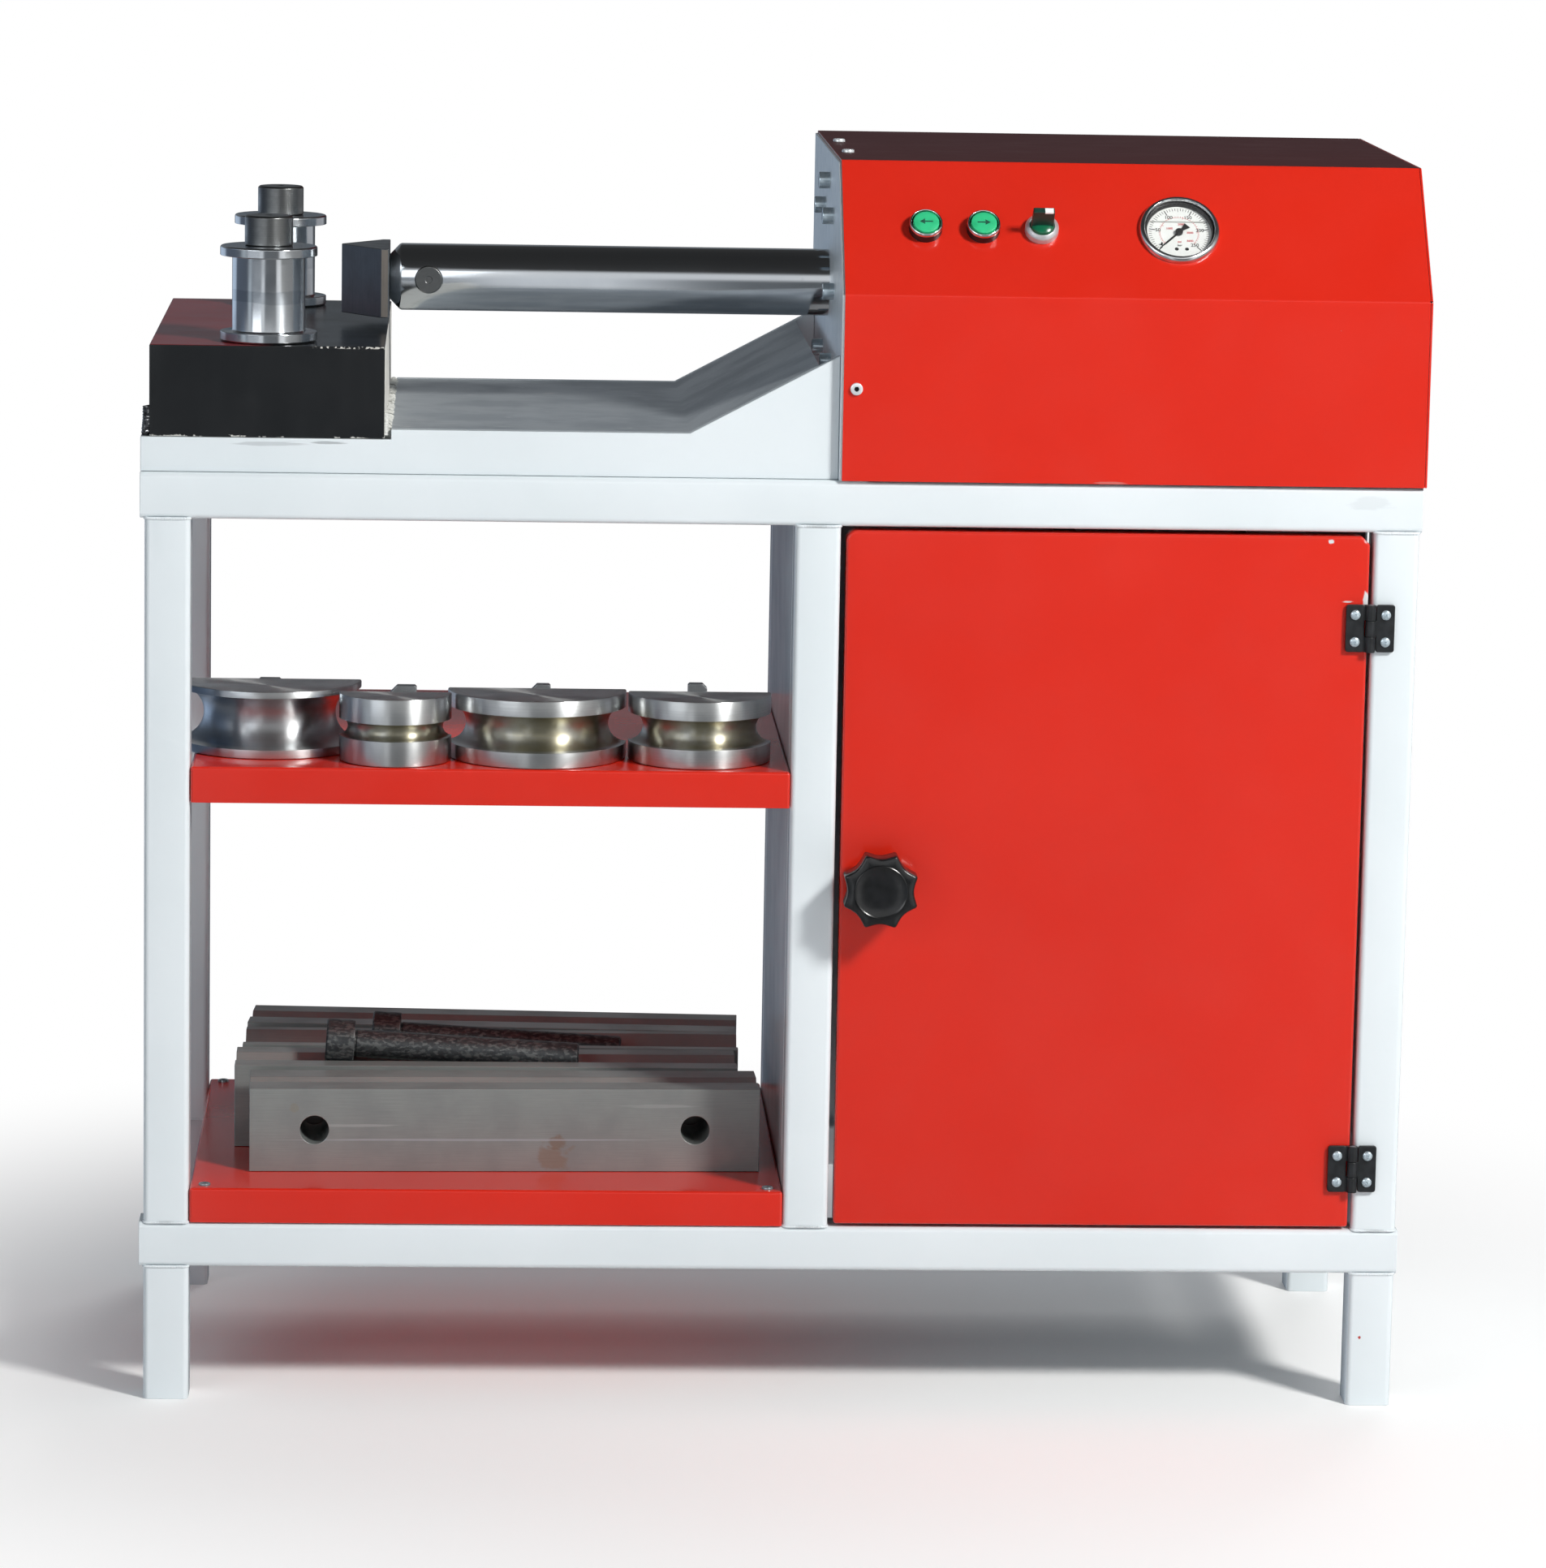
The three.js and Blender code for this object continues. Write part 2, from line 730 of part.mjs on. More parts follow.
// Cover sheet: front, slanted panel, top, back and right end, open to the left and below
function coverShell() {
  const outer = stretched(coverOutline(0, coverBottom), "x", coverLeft, coverRight);
  const hollow = coverOutline(sheet, coverBottom - overrun);
  const inner = stretched(hollow, "x", coverLeft - overrun, coverRight - sheet);
  const holes = panelHoles.map(([x, row, radius]) =>
    rod("z", x, row, radius, -gaugeDepth, gaugeHeight).applyMatrix4(panelMatrix()),
  );
  return cut(join(cut(outer, inner), ...coverScrews()), ...holes);
}

function coverScrews() {
  const x = (coverLeft + plateLeft + plateThickness) / 2;
  const [z, inside] = [frameHeight + screwRise, sheet / 2];
  const flatFront = coverFront + slantRun;
  const places = topScrewShares.map((share) => flatFront + (coverRear - flatFront) * share);
  return [
    rod("y", x, z, screwHeadRadius, coverFront - screwHeadHeight, coverFront + inside, smallSides),
    rod("y", x, z, screwHeadRadius, coverRear - inside, coverRear + screwHeadHeight, smallSides),
    ...places.map((y) =>
      rod("z", x, y, screwHeadRadius, coverTop - inside, coverTop + screwHeadHeight, smallSides),
    ),
  ];
}

const panelHoles = [
  [forwardButtonX, buttonRow, barrelShankRadius + running],
  [backButtonX, buttonRow, barrelShankRadius + running],
  [selectorX, buttonRow, barrelShankRadius + running],
  [gaugeX, gaugeRow, gaugeCaseRadius + running],
];

// Frame of the slanted panel: X to the right, Y up the slope, Z out of the panel
function panelMatrix() {
  const matrix = new THREE.Matrix4().makeRotationX(slantAngle);
  return matrix.setPosition(0, coverFront, bendZ);
}

// Threaded ring through the panel with its nut behind
function bezel(height) {
  const behind = -sheet - seat;
  return turned(
    closed([
      [stemBoreRadius, -barrelDepth],
      [barrelShankRadius, -barrelDepth],
      [barrelShankRadius, behind - nutThickness],
      [nutRadius, behind - nutThickness],
      [nutRadius, behind],
      [barrelShankRadius, behind],
      [barrelShankRadius, seat],
      [bezelRadius, seat],
      [bezelRadius, height - bezelChamfer],
      [bezelRadius - bezelChamfer, height],
      [capBoreRadius, height],
      [capBoreRadius, capFloor],
      [stemBoreRadius, capFloor],
    ]),
  );
}

// Round cap on a stem, its underside held clear of the bezel's floor by the travel
function cap(top, lift) {
  const [stem, rim] = [stemBoreRadius - running, capBoreRadius - running];
  const under = capFloor + seat + lift;
  return turned([
    [0, -buttonStem],
    [stem, -buttonStem],
    [stem, under],
    [rim, under],
    [rim, top - buttonChamfer],
    [rim - buttonChamfer, top],
    [0, top],
  ]);
}

function selectorKnob() {
  const half = handleWidth / 2;
  const slim = half * handleTaperShare;
  const ridge = outline([
    [-half, selectorDisc - buttonChamfer],
    [half, selectorDisc - buttonChamfer],
    [slim, handleTop],
    [-slim, handleTop],
  ]);
  return join(cap(selectorDisc, 0), stretched(ridge, "y", -handleLength / 2, handleLength / 2));
}

const gaugeDial = gaugeHeight - gaugeRecess;
const glassTop = gaugeHeight - gaugeLip - seat;

// Gauge case, dial floor and bezel in one, with the pointer's spindle and the rear connection
function gaugeCase() {
  return turned([
    [0, -gaugeDepth - gaugeStem],
    [gaugeStemRadius, -gaugeDepth - gaugeStem],
    [gaugeStemRadius, -gaugeDepth],
    [gaugeCaseRadius, -gaugeDepth],
    [gaugeCaseRadius, seat],
    [gaugeRadius, seat],
    [gaugeRadius, gaugeHeight - gaugeChamfer],
    [gaugeRadius - gaugeChamfer, gaugeHeight],
    [gaugeLipRadius, gaugeHeight],
    [gaugeLipRadius, gaugeHeight - gaugeLip],
    [gaugeInnerRadius, gaugeHeight - gaugeLip],
    [gaugeInnerRadius, gaugeDial],
    [spindleRadius, gaugeDial],
    [spindleRadius, glassTop - glassThickness - 2 * seat],
    [0, glassTop - glassThickness - 2 * seat],
  ]);
}

function gaugePointer() {
  const bottom = gaugeDial + 2 * seat;
  const top = bottom + hubThickness;
  const [tail, wide] = [needleTailWidth / 2, needleWidth / 2];
  const slim = wide * needleTipShare;
  const needle = outline([
    [-needleTail, -tail],
    [0, -wide],
    [needleLength, -slim],
    [needleLength, slim],
    [0, wide],
    [-needleTail, tail],
  ]);
  const blade = stretched(needle, "z", bottom, bottom + hubThickness / 2);
  const hub = rod("z", 0, 0, hubRadius, bottom, top, smallSides);
  const hole = rod("z", 0, 0, spindleRadius + seat, bottom - overrun, top + overrun, smallSides);
  return cut(join(blade, hub), hole);
}

function addControls(parent) {
  const panel = new THREE.Group();
  panel.applyMatrix4(panelMatrix());
  parent.add(panel);
  const glass = rod("z", 0, 0, gaugeInnerRadius - seat, glassTop - glassThickness, glassTop);
  for (const [side, x] of [["forward", forwardButtonX], ["back", backButtonX]]) {
    add(panel, `bezel_${side}`, bezel(bezelHeight), chrome).position.set(x, buttonRow, 0);
    add(panel, `button_${side}`, cap(buttonTop, buttonTravel), greenPlastic).position.set(x, buttonRow, 0);
  }
  add(panel, "selector_base", bezel(selectorHeight), greyMetal).position.set(selectorX, buttonRow, 0);
  const knob = add(panel, "selector_knob", selectorKnob(), greenPlastic);
  knob.position.set(selectorX, buttonRow, 0);
  knob.rotation.z = -Math.PI / 2;
  add(panel, "gauge_case", gaugeCase(), dialWhite).position.set(gaugeX, gaugeRow, 0);
  add(panel, "gauge_glass", glass, clearGlass).position.set(gaugeX, gaugeRow, 0);
  const pointer = add(panel, "gauge_pointer", gaugePointer(), blackPlastic);
  pointer.position.set(gaugeX, gaugeRow, 0);
  pointer.rotation.z = THREE.MathUtils.degToRad(needleZeroDegrees);
}

// Door outline with one rounded and one clipped upper corner
function doorOutline(inset) {
  const [left, right] = [doorLeft + inset, doorRight - inset];
  const [bottom, top] = [doorBottom + inset, doorTop - inset];
  const round = doorRound - inset;
  const shape = new THREE.Shape();
  shape.moveTo(left, bottom);
  shape.lineTo(right, bottom);
  shape.lineTo(right, top - doorClip);
  shape.lineTo(right - doorClip, top);
  shape.absarc(left + round, top - round, round, Math.PI / 2, Math.PI);
  return shape;
}

function door() {
  const skin = stretched(doorOutline(0), "y", 0, doorDepth);
  const pocket = stretched(doorOutline(sheet), "y", sheet, doorDepth + overrun);
  const { x, z } = knobPlace;
  const hole = rod("y", x, z, knobSpindleRadius + running, -overrun, overrun + sheet, smallSides);
  return cut(skin, pocket, hole);
}

const knobPlace = { x: doorLeft + knobX, z: doorBottom + knobRise };

// Lobed grip, cap, neck, spindle and latch cam, drawn facing up
function doorKnob() {
  const points = [];
  const steps = 6 * knobLobes;
  for (let i = 0; i < steps; i++) {
    const angle = (2 * Math.PI * i) / steps;
    const radius = knobRadius - knobLobe * (1 - Math.cos(knobLobes * angle));
    points.push([radius * Math.cos(angle), radius * Math.sin(angle)]);
  }
  const camTop = -tubeSize - 2 * seat;
  const camBottom = camTop - camThickness;
  return join(
    stretched(outline(points), "z", knobBase, knobFace),
    rod("z", 0, 0, knobCapRadius, knobFace - overrun, knobProud),
    rod("z", 0, 0, knobNeckRadius, seat, knobBase + overrun, smallSides),
    rod("z", 0, 0, knobSpindleRadius, camBottom, seat + overrun, smallSides),
    box(-camWidth / 2, camWidth / 2, -camTail, camLength, camBottom, camTop),
  );
}

// The two hinge leaves: their side of the pin, their knuckles along it and the spaces for the other's
const hingeEnd = hingeHeight / 2;
const [knuckleInside, knuckleOutside] = [hingeHeight / 6 - seat / 2, hingeHeight / 6 + seat / 2];
const hingeSides = {
  door: {
    side: -1,
    knuckles: [[-hingeEnd, -knuckleOutside], [knuckleOutside, hingeEnd]],
    spaces: [[-knuckleOutside, knuckleOutside]],
  },
  stand: {
    side: 1,
    knuckles: [[-knuckleInside, knuckleInside]],
    spaces: [[-hingeEnd - overrun, -knuckleInside], [knuckleInside, hingeEnd + overrun]],
  },
};

// Leaf about the hinge's own axis, with its screws; the pin is part of the stand's leaf
function hingeLeafBody({ side, knuckles, spaces }) {
  const back = hingeAxisFront - seat;
  const front = back - hingeLeafThickness;
  const near = knuckleRadius + running;
  const [left, right] = side < 0 ? [-hingeLeaf, 0] : [0, hingeLeaf];
  const [from, to] = side < 0 ? [-near, overrun] : [-overrun, near];
  const plate = box(left, right, front, back, -hingeEnd, hingeEnd);
  const barrels = knuckles.map(([low, high]) => rod("z", 0, 0, knuckleRadius, low, high, smallSides));
  const notches = spaces.map(([low, high]) => box(from, to, front - overrun, back + overrun, low, high));
  const screws = [-hingeScrewZ, hingeScrewZ].map((z) => domedScrew(side * hingeScrewX, front, z));
  const leaf = join(cut(plate, ...notches), ...barrels, ...screws);
  if (side > 0) return join(leaf, rod("z", 0, 0, hingePinRadius, -hingeEnd, hingeEnd, smallSides));
  const reach = hingeEnd + overrun;
  return cut(leaf, rod("z", 0, 0, hingePinRadius + running, -reach, reach, smallSides));
}

// Screw head facing forward, its rim a little behind the face it sits on
function domedScrew(x, y, z) {
  const profile = [[0, -seat], [hingeScrewRadius, -seat]];
  for (let i = 1; i < 3; i++) {
    const angle = (i * Math.PI) / 6;
    profile.push([hingeScrewRadius * Math.cos(angle), hingeScrewDome * Math.sin(angle)]);
  }
  profile.push([0, hingeScrewDome]);
  return turned(profile, smallSides).rotateX(Math.PI / 2).translate(x, y, z);
}

function addDoor(parent) {
  add(parent, "door", door(), redPaint);
  const knob = add(parent, "door_knob", doorKnob(), blackPlastic);
  knob.position.set(knobPlace.x, 0, knobPlace.z);
  knob.rotation.x = Math.PI / 2;
  for (const [place, z] of [["top", doorTop - hingeFromTop], ["bottom", doorBottom + hingeFromBottom]]) {
    for (const [leaf, shape] of Object.entries(hingeSides)) {
      const mesh = add(parent, `hinge_${place}_${leaf}_leaf`, hingeLeafBody(shape), blackPlastic);
      mesh.position.set(legRight - hingeAxisGap, -hingeAxisFront, z);
    }
  }
}

// Shelf pan with turned-down lips, between the left uprights and the middle posts
function shelf(top, height) {
  const pan = box(shelfLeft, shelfRight, 0, frameDepth, top - height, top);
  const [front, rear] = [sheet, frameDepth - sheet];
  const [left, right] = [shelfLeft + sheet, shelfRight - sheet];
  return cut(pan, box(left, right, front, rear, top - height - overrun, top - sheet));
}

function lowerShelf() {
  const inset = shelfScrewInset;
  const places = [];
  for (const x of [shelfLeft + inset, shelfRight - inset]) {
    for (const y of [inset, frameDepth - inset]) places.push([x, y]);
  }
  const screws = places.map(([x, y]) =>
    rod("z", x, y, shelfScrewRadius, lowerShelfTop - sheet / 2, lowerShelfTop + shelfScrewHeight, smallSides),
  );
  return join(shelf(lowerShelfTop, lowerShelfHeight), ...screws);
}

function addShelves(parent) {
  add(parent, "shelf_upper", shelf(upperShelfTop, shelfLip), redPaint);
  add(parent, "shelf_lower", lowerShelf(), redPaint);
}

// Cabinet sheets: one beside the middle posts, one folded round the right side and the back
function cabinetWrap() {
  const [bottom, top] = [baseTop + seat, ringBottom - seat];
  const [right, rear] = [legRight - seat, railRear + tubeSize / 2];
  const side = box(right - sheet, right, tubeSize + sheet, rear + sheet, bottom, top);
  const back = box(postRight + seat, right, rear, rear + sheet, bottom, top);
  const [x, z, end] = [right - glandInset, bottom + glandRise, rear + sheet + glandLength];
  const gland = rod("y", x, z, glandRadius, rear, end, smallSides);
  return join(side, back, gland);
}

function addCabinet(parent) {
  const [front, rear] = [tubeSize + seat, railRear - seat];
  const left = box(postLeft, postLeft + sheet, front, rear, baseTop + seat, ringBottom - seat);
  add(parent, "cabinet_side", left, whitePaint);
  add(parent, "cabinet_wrap", cabinetWrap(), whitePaint);
}

const tankBottom = baseTop + seat;
const tankTop = tankBottom + tankHeight;
const lidTop = tankTop + tankLid;

// Oil tank across the lower rails, with its lid, filler cap and valve block
function oilTank() {
  const [left, right] = [tankLeft, tankLeft + tankWidth];
  const [front, rear] = [tubeSize - tankBearing, railRear + tankBearing];
  const over = tankLidOverhang / 2;
  const body = box(left, right, front, rear, tankBottom, tankTop);
  const inside = box(left + sheet, right - sheet, front + sheet, rear - sheet, tankBottom + sheet, tankTop);
  const lid = box(left - over, right + over, front + over, rear - over, tankTop - overrun, lidTop);
  const filler = rod("z", fillerX, fillerY, fillerRadius, tankTop, lidTop + fillerHeight, smallSides);
  const [valveRight, valveRear] = [valveLeft + valveWidth, valveFront + valveDepth];
  const valve = box(valveLeft, valveRight, valveFront, valveRear, tankTop, lidTop + valveHeight);
  const pumpHole = rod("z", motorX, ramY, pumpRadius + overrun, tankTop - tankLid, lidTop + overrun);
  return cut(join(body, lid, filler, valve), inside, pumpHole);
}

// Upright motor with its pump hanging into the tank
function pumpMotor() {
  const bottom = lidTop + seat;
  const top = bottom + motorHeight;
  const [boxLeft, boxHalf] = [motorX + motorRadius / 2, terminalBox / 2];
  const [boxBottom, boxTop] = [bottom + terminalRise, bottom + terminalHeight];
  return join(
    rod("z", motorX, ramY, pumpRadius, bottom - pumpHeight, bottom + overrun),
    rod("z", motorX, ramY, motorFlangeRadius, bottom, bottom + motorFlange),
    rod("z", motorX, ramY, motorRadius, bottom, top - fanCowlHeight),
    rod("z", motorX, ramY, fanCowlRadius, top - fanCowlHeight - overrun, top),
    box(boxLeft, boxLeft + terminalBox, ramY - boxHalf, ramY + boxHalf, boxBottom, boxTop),
  );
}

// One hose from the valve block up to a port under the cylinder
function hose(startX, endX) {
  const y0 = valveFront + valveDepth / 2;
  const [low, high] = [lidTop + valveHeight + seat, portFace - seat];
  const middle = (low + high) / 2;
  const path = new THREE.CatmullRomCurve3([
    new THREE.Vector3(startX, y0, low),
    new THREE.Vector3(startX, y0, low + hoseLead),
    new THREE.Vector3(startX, y0, low + hoseClipRise + hoseLead),
    new THREE.Vector3((startX + endX) / 2, (y0 + ramY) / 2, (middle + high) / 2),
    new THREE.Vector3(endX, ramY, high - hoseLead),
    new THREE.Vector3(endX, ramY, high),
  ]);
  const section = circle(0, 0, hoseRadius, hoseSides);
  return new THREE.ExtrudeGeometry(section, { steps: hoseSteps, extrudePath: path, bevelEnabled: false });
}

// Both hoses, held side by side by one clip
function hydraulicHoses() {
  const inset = valveWidth * hoseInsetShare;
  const [leftX, rightX] = [valveLeft + inset, valveLeft + valveWidth - inset];
  const y = valveFront + valveDepth / 2;
  const z = lidTop + valveHeight + hoseClipRise;
  const grip = hoseRadius + overrun;
  const clip = box(leftX - grip, rightX + grip, y - grip, y + grip, z - hoseClipHeight, z);
  return join(hose(leftX, portPlaces[0]), hose(rightX, portPlaces[1]), clip);
}

function addPower(parent) {
  add(parent, "cylinder_plate", cylinderPlate(), cutSteel);
  add(parent, "cylinder_barrel", cylinderBarrel(), darkSteel);
  add(parent, "hydraulic_hoses", hydraulicHoses(), rubber);
  add(parent, "oil_tank", oilTank(), greyMetal);
  add(parent, "pump_motor", pumpMotor(), greyMetal);
}

// Key up a former's flat back, its upper corners bevelled
function formerKey(shares) {
  const [width, middle] = [keyWidth * shares.width, keyWidth * shares.x];
  const top = formerHeight + keyWidth * shares.proud;
  const [left, right] = [middle - width / 2, middle + width / 2];
  const [leftBevel, rightBevel] = [keyWidth * shares.leftBevel, keyWidth * shares.rightBevel];
  const face = outline([
    [left, 0],
    [right, 0],
    [right, top - rightBevel],
    [right - rightBevel, top],
    [left + leftBevel, top],
    [left, top - leftBevel],
  ]);
  return stretched(face, "y", -overrun, keyDepth);
}

// Half-disc former with a round groove, its flat back at y zero and its bottom at z zero
function former({ name, radius, groove, rise }) {
  const profile = [
    [0, 0],
    [radius - formerEdge, 0],
    [radius, formerEdge],
  ];
  const steps = 6;
  for (let i = 0; i <= steps; i++) {
    const angle = (Math.PI * i) / steps - Math.PI / 2;
    profile.push([radius - groove * Math.cos(angle), rise + groove * Math.sin(angle)]);
  }
  profile.push([radius, formerHeight - formerEdge], [radius - formerEdge, formerHeight], [0, formerHeight]);
  const reach = radius + overrun;
  const keep = box(-reach, reach, -reach, 0, -overrun, formerHeight + overrun);
  return join(common(turned(profile), keep), formerKey(keyShares[name]));
}

// Bar with a right-angled groove along its top and two cross holes, its front low left corner at zero
function vBar({ groove }) {
  const middle = barDepth / 2;
  const section = outline([
    [0, 0],
    [barDepth, 0],
    [barDepth, barHeight],
    [middle + groove / 2, barHeight],
    [middle, barHeight - groove / 2],
    [middle - groove / 2, barHeight],
    [0, barHeight],
  ]);
  const holes = [barHoleInset, barLength - barHoleInset].map((x) =>
    rod("y", x, barHoleRise, barHoleRadius, -overrun, barDepth + overrun, smallSides),
  );
  return cut(stretched(section, "x", 0, barLength), ...holes);
}

// Loose pin lying in a groove: the head rests on the groove's edges or sides, the shank's end in its bottom
function restingPin(groove) {
  const lift = (radius) => {
    const onSides = radius * Math.SQRT2 - groove / 2;
    const touchesSides = radius / Math.SQRT2 < groove / 2;
    return touchesSides ? onSides : Math.sqrt(radius ** 2 - (groove / 2) ** 2);
  };
  const [head, tail] = [lift(pinHeadRadius), lift(pinRadius)];
  return { head, tilt: Math.asin((head - tail) / sparePinLength) };
}

function addTooling(parent) {
  for (const size of formers) {
    const mesh = add(parent, size.name, former(size), turnedSteel);
    mesh.position.set(size.x, size.front + size.radius, upperShelfTop + seat);
  }
  const holders = bars.map((size) => {
    const holder = new THREE.Group();
    holder.position.set(size.x, size.front, lowerShelfTop + seat);
    holder.rotation.z = size.turn;
    parent.add(holder);
    add(holder, size.name, vBar(size), rawSteel);
    return holder;
  });
  for (const { name, bar, along } of sparePinShares) {
    const { head, tilt } = restingPin(bars[bar].groove);
    const pin = add(holders[bar], name, headedPin(sparePinLength), darkSteel);
    pin.position.set(barLength * along, barDepth / 2, barHeight + head + 2 * seat);
    pin.rotation.y = tilt - Math.PI / 2;
  }
}

const press = new THREE.Group();
const middleX = (bedLeft + coverRight) / 2;
const middleY = (coverRear + screwHeadHeight - knobProud) / 2;
press.position.set(-middleX, -middleY, 0);
addStand(press);
addBed(press);
add(press, "bolster_block", bolsterBlock(), blackBlock);
addRollers(press);
addRam(press);
addPower(press);
add(press, "cover_shell", coverShell(), redPaint);
addControls(press);
addDoor(press);
addShelves(press);
addCabinet(press);
addTooling(press);

export default press;
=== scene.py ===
"""Looks of a hydraulic ram bending press on a tube stand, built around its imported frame.

Sizes are in millimetres: X runs right from the stand's left face, Y back from its front face and
Z up from the floor. Meshes are scaled to metres and moved into the frame's own place as they are made.
"""

import logging
import random
from collections.abc import Sequence
from dataclasses import dataclass, replace
from enum import Enum
from math import asin, atan2, copysign, cos, hypot, pi, radians, sin, sqrt, tan, tau

import bmesh
import bpy
from mathutils import Matrix, Vector


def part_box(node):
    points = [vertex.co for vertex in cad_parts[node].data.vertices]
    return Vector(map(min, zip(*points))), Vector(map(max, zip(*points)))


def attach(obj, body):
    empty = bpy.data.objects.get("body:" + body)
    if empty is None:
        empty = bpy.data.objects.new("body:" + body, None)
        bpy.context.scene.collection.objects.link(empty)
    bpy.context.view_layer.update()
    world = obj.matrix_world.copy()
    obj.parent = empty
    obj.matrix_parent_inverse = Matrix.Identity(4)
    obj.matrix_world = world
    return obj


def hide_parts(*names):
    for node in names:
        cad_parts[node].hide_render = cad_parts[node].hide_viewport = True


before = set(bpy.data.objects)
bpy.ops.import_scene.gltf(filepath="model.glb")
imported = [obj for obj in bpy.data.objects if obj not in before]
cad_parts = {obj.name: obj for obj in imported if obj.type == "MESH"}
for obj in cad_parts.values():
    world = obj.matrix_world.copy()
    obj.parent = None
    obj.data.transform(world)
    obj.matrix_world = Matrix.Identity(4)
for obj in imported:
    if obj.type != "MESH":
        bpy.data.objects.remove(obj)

LOG = logging.getLogger("ring_roller")
RAM_AXIS = (228, 981)
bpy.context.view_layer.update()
MM = 0.001
SHARP = radians(32)
EVEN = (1, 1, 1)

RAIL_LEFT = -4
RAIL_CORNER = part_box("bottom_rail_front")[0]
SHIFT = Vector((RAIL_CORNER.x - RAIL_LEFT * MM, RAIL_CORNER.y, 0))

Point = tuple[float, float]
Place = tuple[float, float, float]
Colour = tuple[int, int, int]
Tone = tuple[float, float, float, float]
Row = tuple[float, ...]
Socket = bpy.types.NodeSocket
Vertex = bmesh.types.BMVert


class Axis(Enum):
    """Direction that an outline is stretched along, with the axes its two coordinates follow."""

    X = (1, 2, 0)
    Y = (0, 2, 1)
    Z = (0, 1, 2)

    def at(self, u: float, v: float, depth: float) -> Place:
        """Returns the place with two coordinates across the axis and one along it."""
        row = dict(zip(self.value, (u, v, depth)))
        return row[0], row[1], row[2]


class Grain(Enum):
    """Direction of the fine lines that a tool left on a metal surface, as their stretch along each axis."""

    RINGS = None
    ALONG_X = (60, 1, 1)
    ALONG_Y = (1, 60, 1)
    ALONG_Z = (1, 1, 60)
    NONE = EVEN


def linear(colour: Colour) -> Tone:
    """Turns a screen colour, red, green and blue from 0 to 255, into linear values with an alpha of one."""
    shares = [channel / 255 for channel in colour]
    return *(s / 12.92 if s <= 0.04045 else ((s + 0.055) / 1.055) ** 2.4 for s in shares), 1


class Nodes:
    """A node tree, with short calls for the nodes that finishes and background share."""

    def __init__(self, tree: bpy.types.NodeTree) -> None:
        """Keeps the tree that nodes are added to."""
        self.tree = tree

    def feed(self, socket: Socket, value: Socket | float | Colour | list[float] | None) -> None:
        """Links an input, or writes a number or a screen colour on it.

        Args:
            socket: Input.
            value: Socket, number, screen colour or list of numbers, or none to leave the input as it is.
        """
        if isinstance(value, bpy.types.NodeSocket):
            self.tree.links.new(value, socket)
        elif isinstance(value, tuple):
            socket.default_value = linear(value)
        elif value is not None:
            socket.default_value = value

    def add(self, kind: str, *values: Socket | float | Colour | list[float] | None,
            **settings: str) -> bpy.types.Node:
        """Adds one node.

        Args:
            kind: Type of the node.
            values: What its inputs read, in order.
            settings: Its other settings.

        Returns:
            The node.
        """
        node = self.tree.nodes.new(kind)
        for name, setting in settings.items():
            setattr(node, name, setting)
        for socket, value in zip(node.inputs, values):
            self.feed(socket, value)
        return node

    def math(self, kind: str, *values: Socket | float) -> Socket:
        """Returns the result of a math node with the given inputs."""
        return self.add("ShaderNodeMath", *values, operation=kind).outputs[0]

    def times(self, first: Socket, second: Socket | float) -> Socket:
        """Returns the product of two values."""
        return self.math("MULTIPLY", first, second)

    def plus(self, first: Socket, second: Socket | float) -> Socket:
        """Returns the sum of two values."""
        return self.math("ADD", first, second)

    def vector(self, kind: str, *values: Socket | list[float]) -> Sequence[Socket]:
        """Returns the outputs of a vector math node with the given inputs."""
        return self.add("ShaderNodeVectorMath", *values, operation=kind).outputs

    def split(self, source: Socket) -> list[Socket]:
        """Returns the three parts of a vector or colour."""
        return list(self.add("ShaderNodeSeparateXYZ", source).outputs)

    def blend(self, share: Socket, first: Socket | Colour, second: Socket | Colour) -> Socket:
        """Returns the first colour with a share of the second mixed in."""
        unused = [None] * 5
        return self.add("ShaderNodeMix", share, *unused, first, second, data_type="RGBA").outputs[2]

    def ramp(self, value: Socket, low: float, high: float, start: float = 0, end: float = 1) -> Socket:
        """Maps a value smoothly from the range low to high to the range start to end, held at its ends."""
        node = self.add("ShaderNodeMapRange", value, low, high, start, end, interpolation_type="SMOOTHSTEP")
        return node.outputs[0]

    def stops(self, value: Socket, stops: Sequence[tuple[float, Tone]]) -> Socket:
        """Adds a colour ramp.

        Args:
            value: What it reads, from 0 to 1.
            stops: Positions in order, with their linear colours.

        Returns:
            The ramp's colour.
        """
        node = self.add("ShaderNodeValToRGB", value)
        elements = node.color_ramp.elements
        while len(elements) < len(stops):
            elements.new(0.5)
        for element, (position, _) in zip(elements, stops):
            element.position = position
        for element, (_, colour) in zip(elements, stops):
            element.color = colour
        return node.outputs[0]


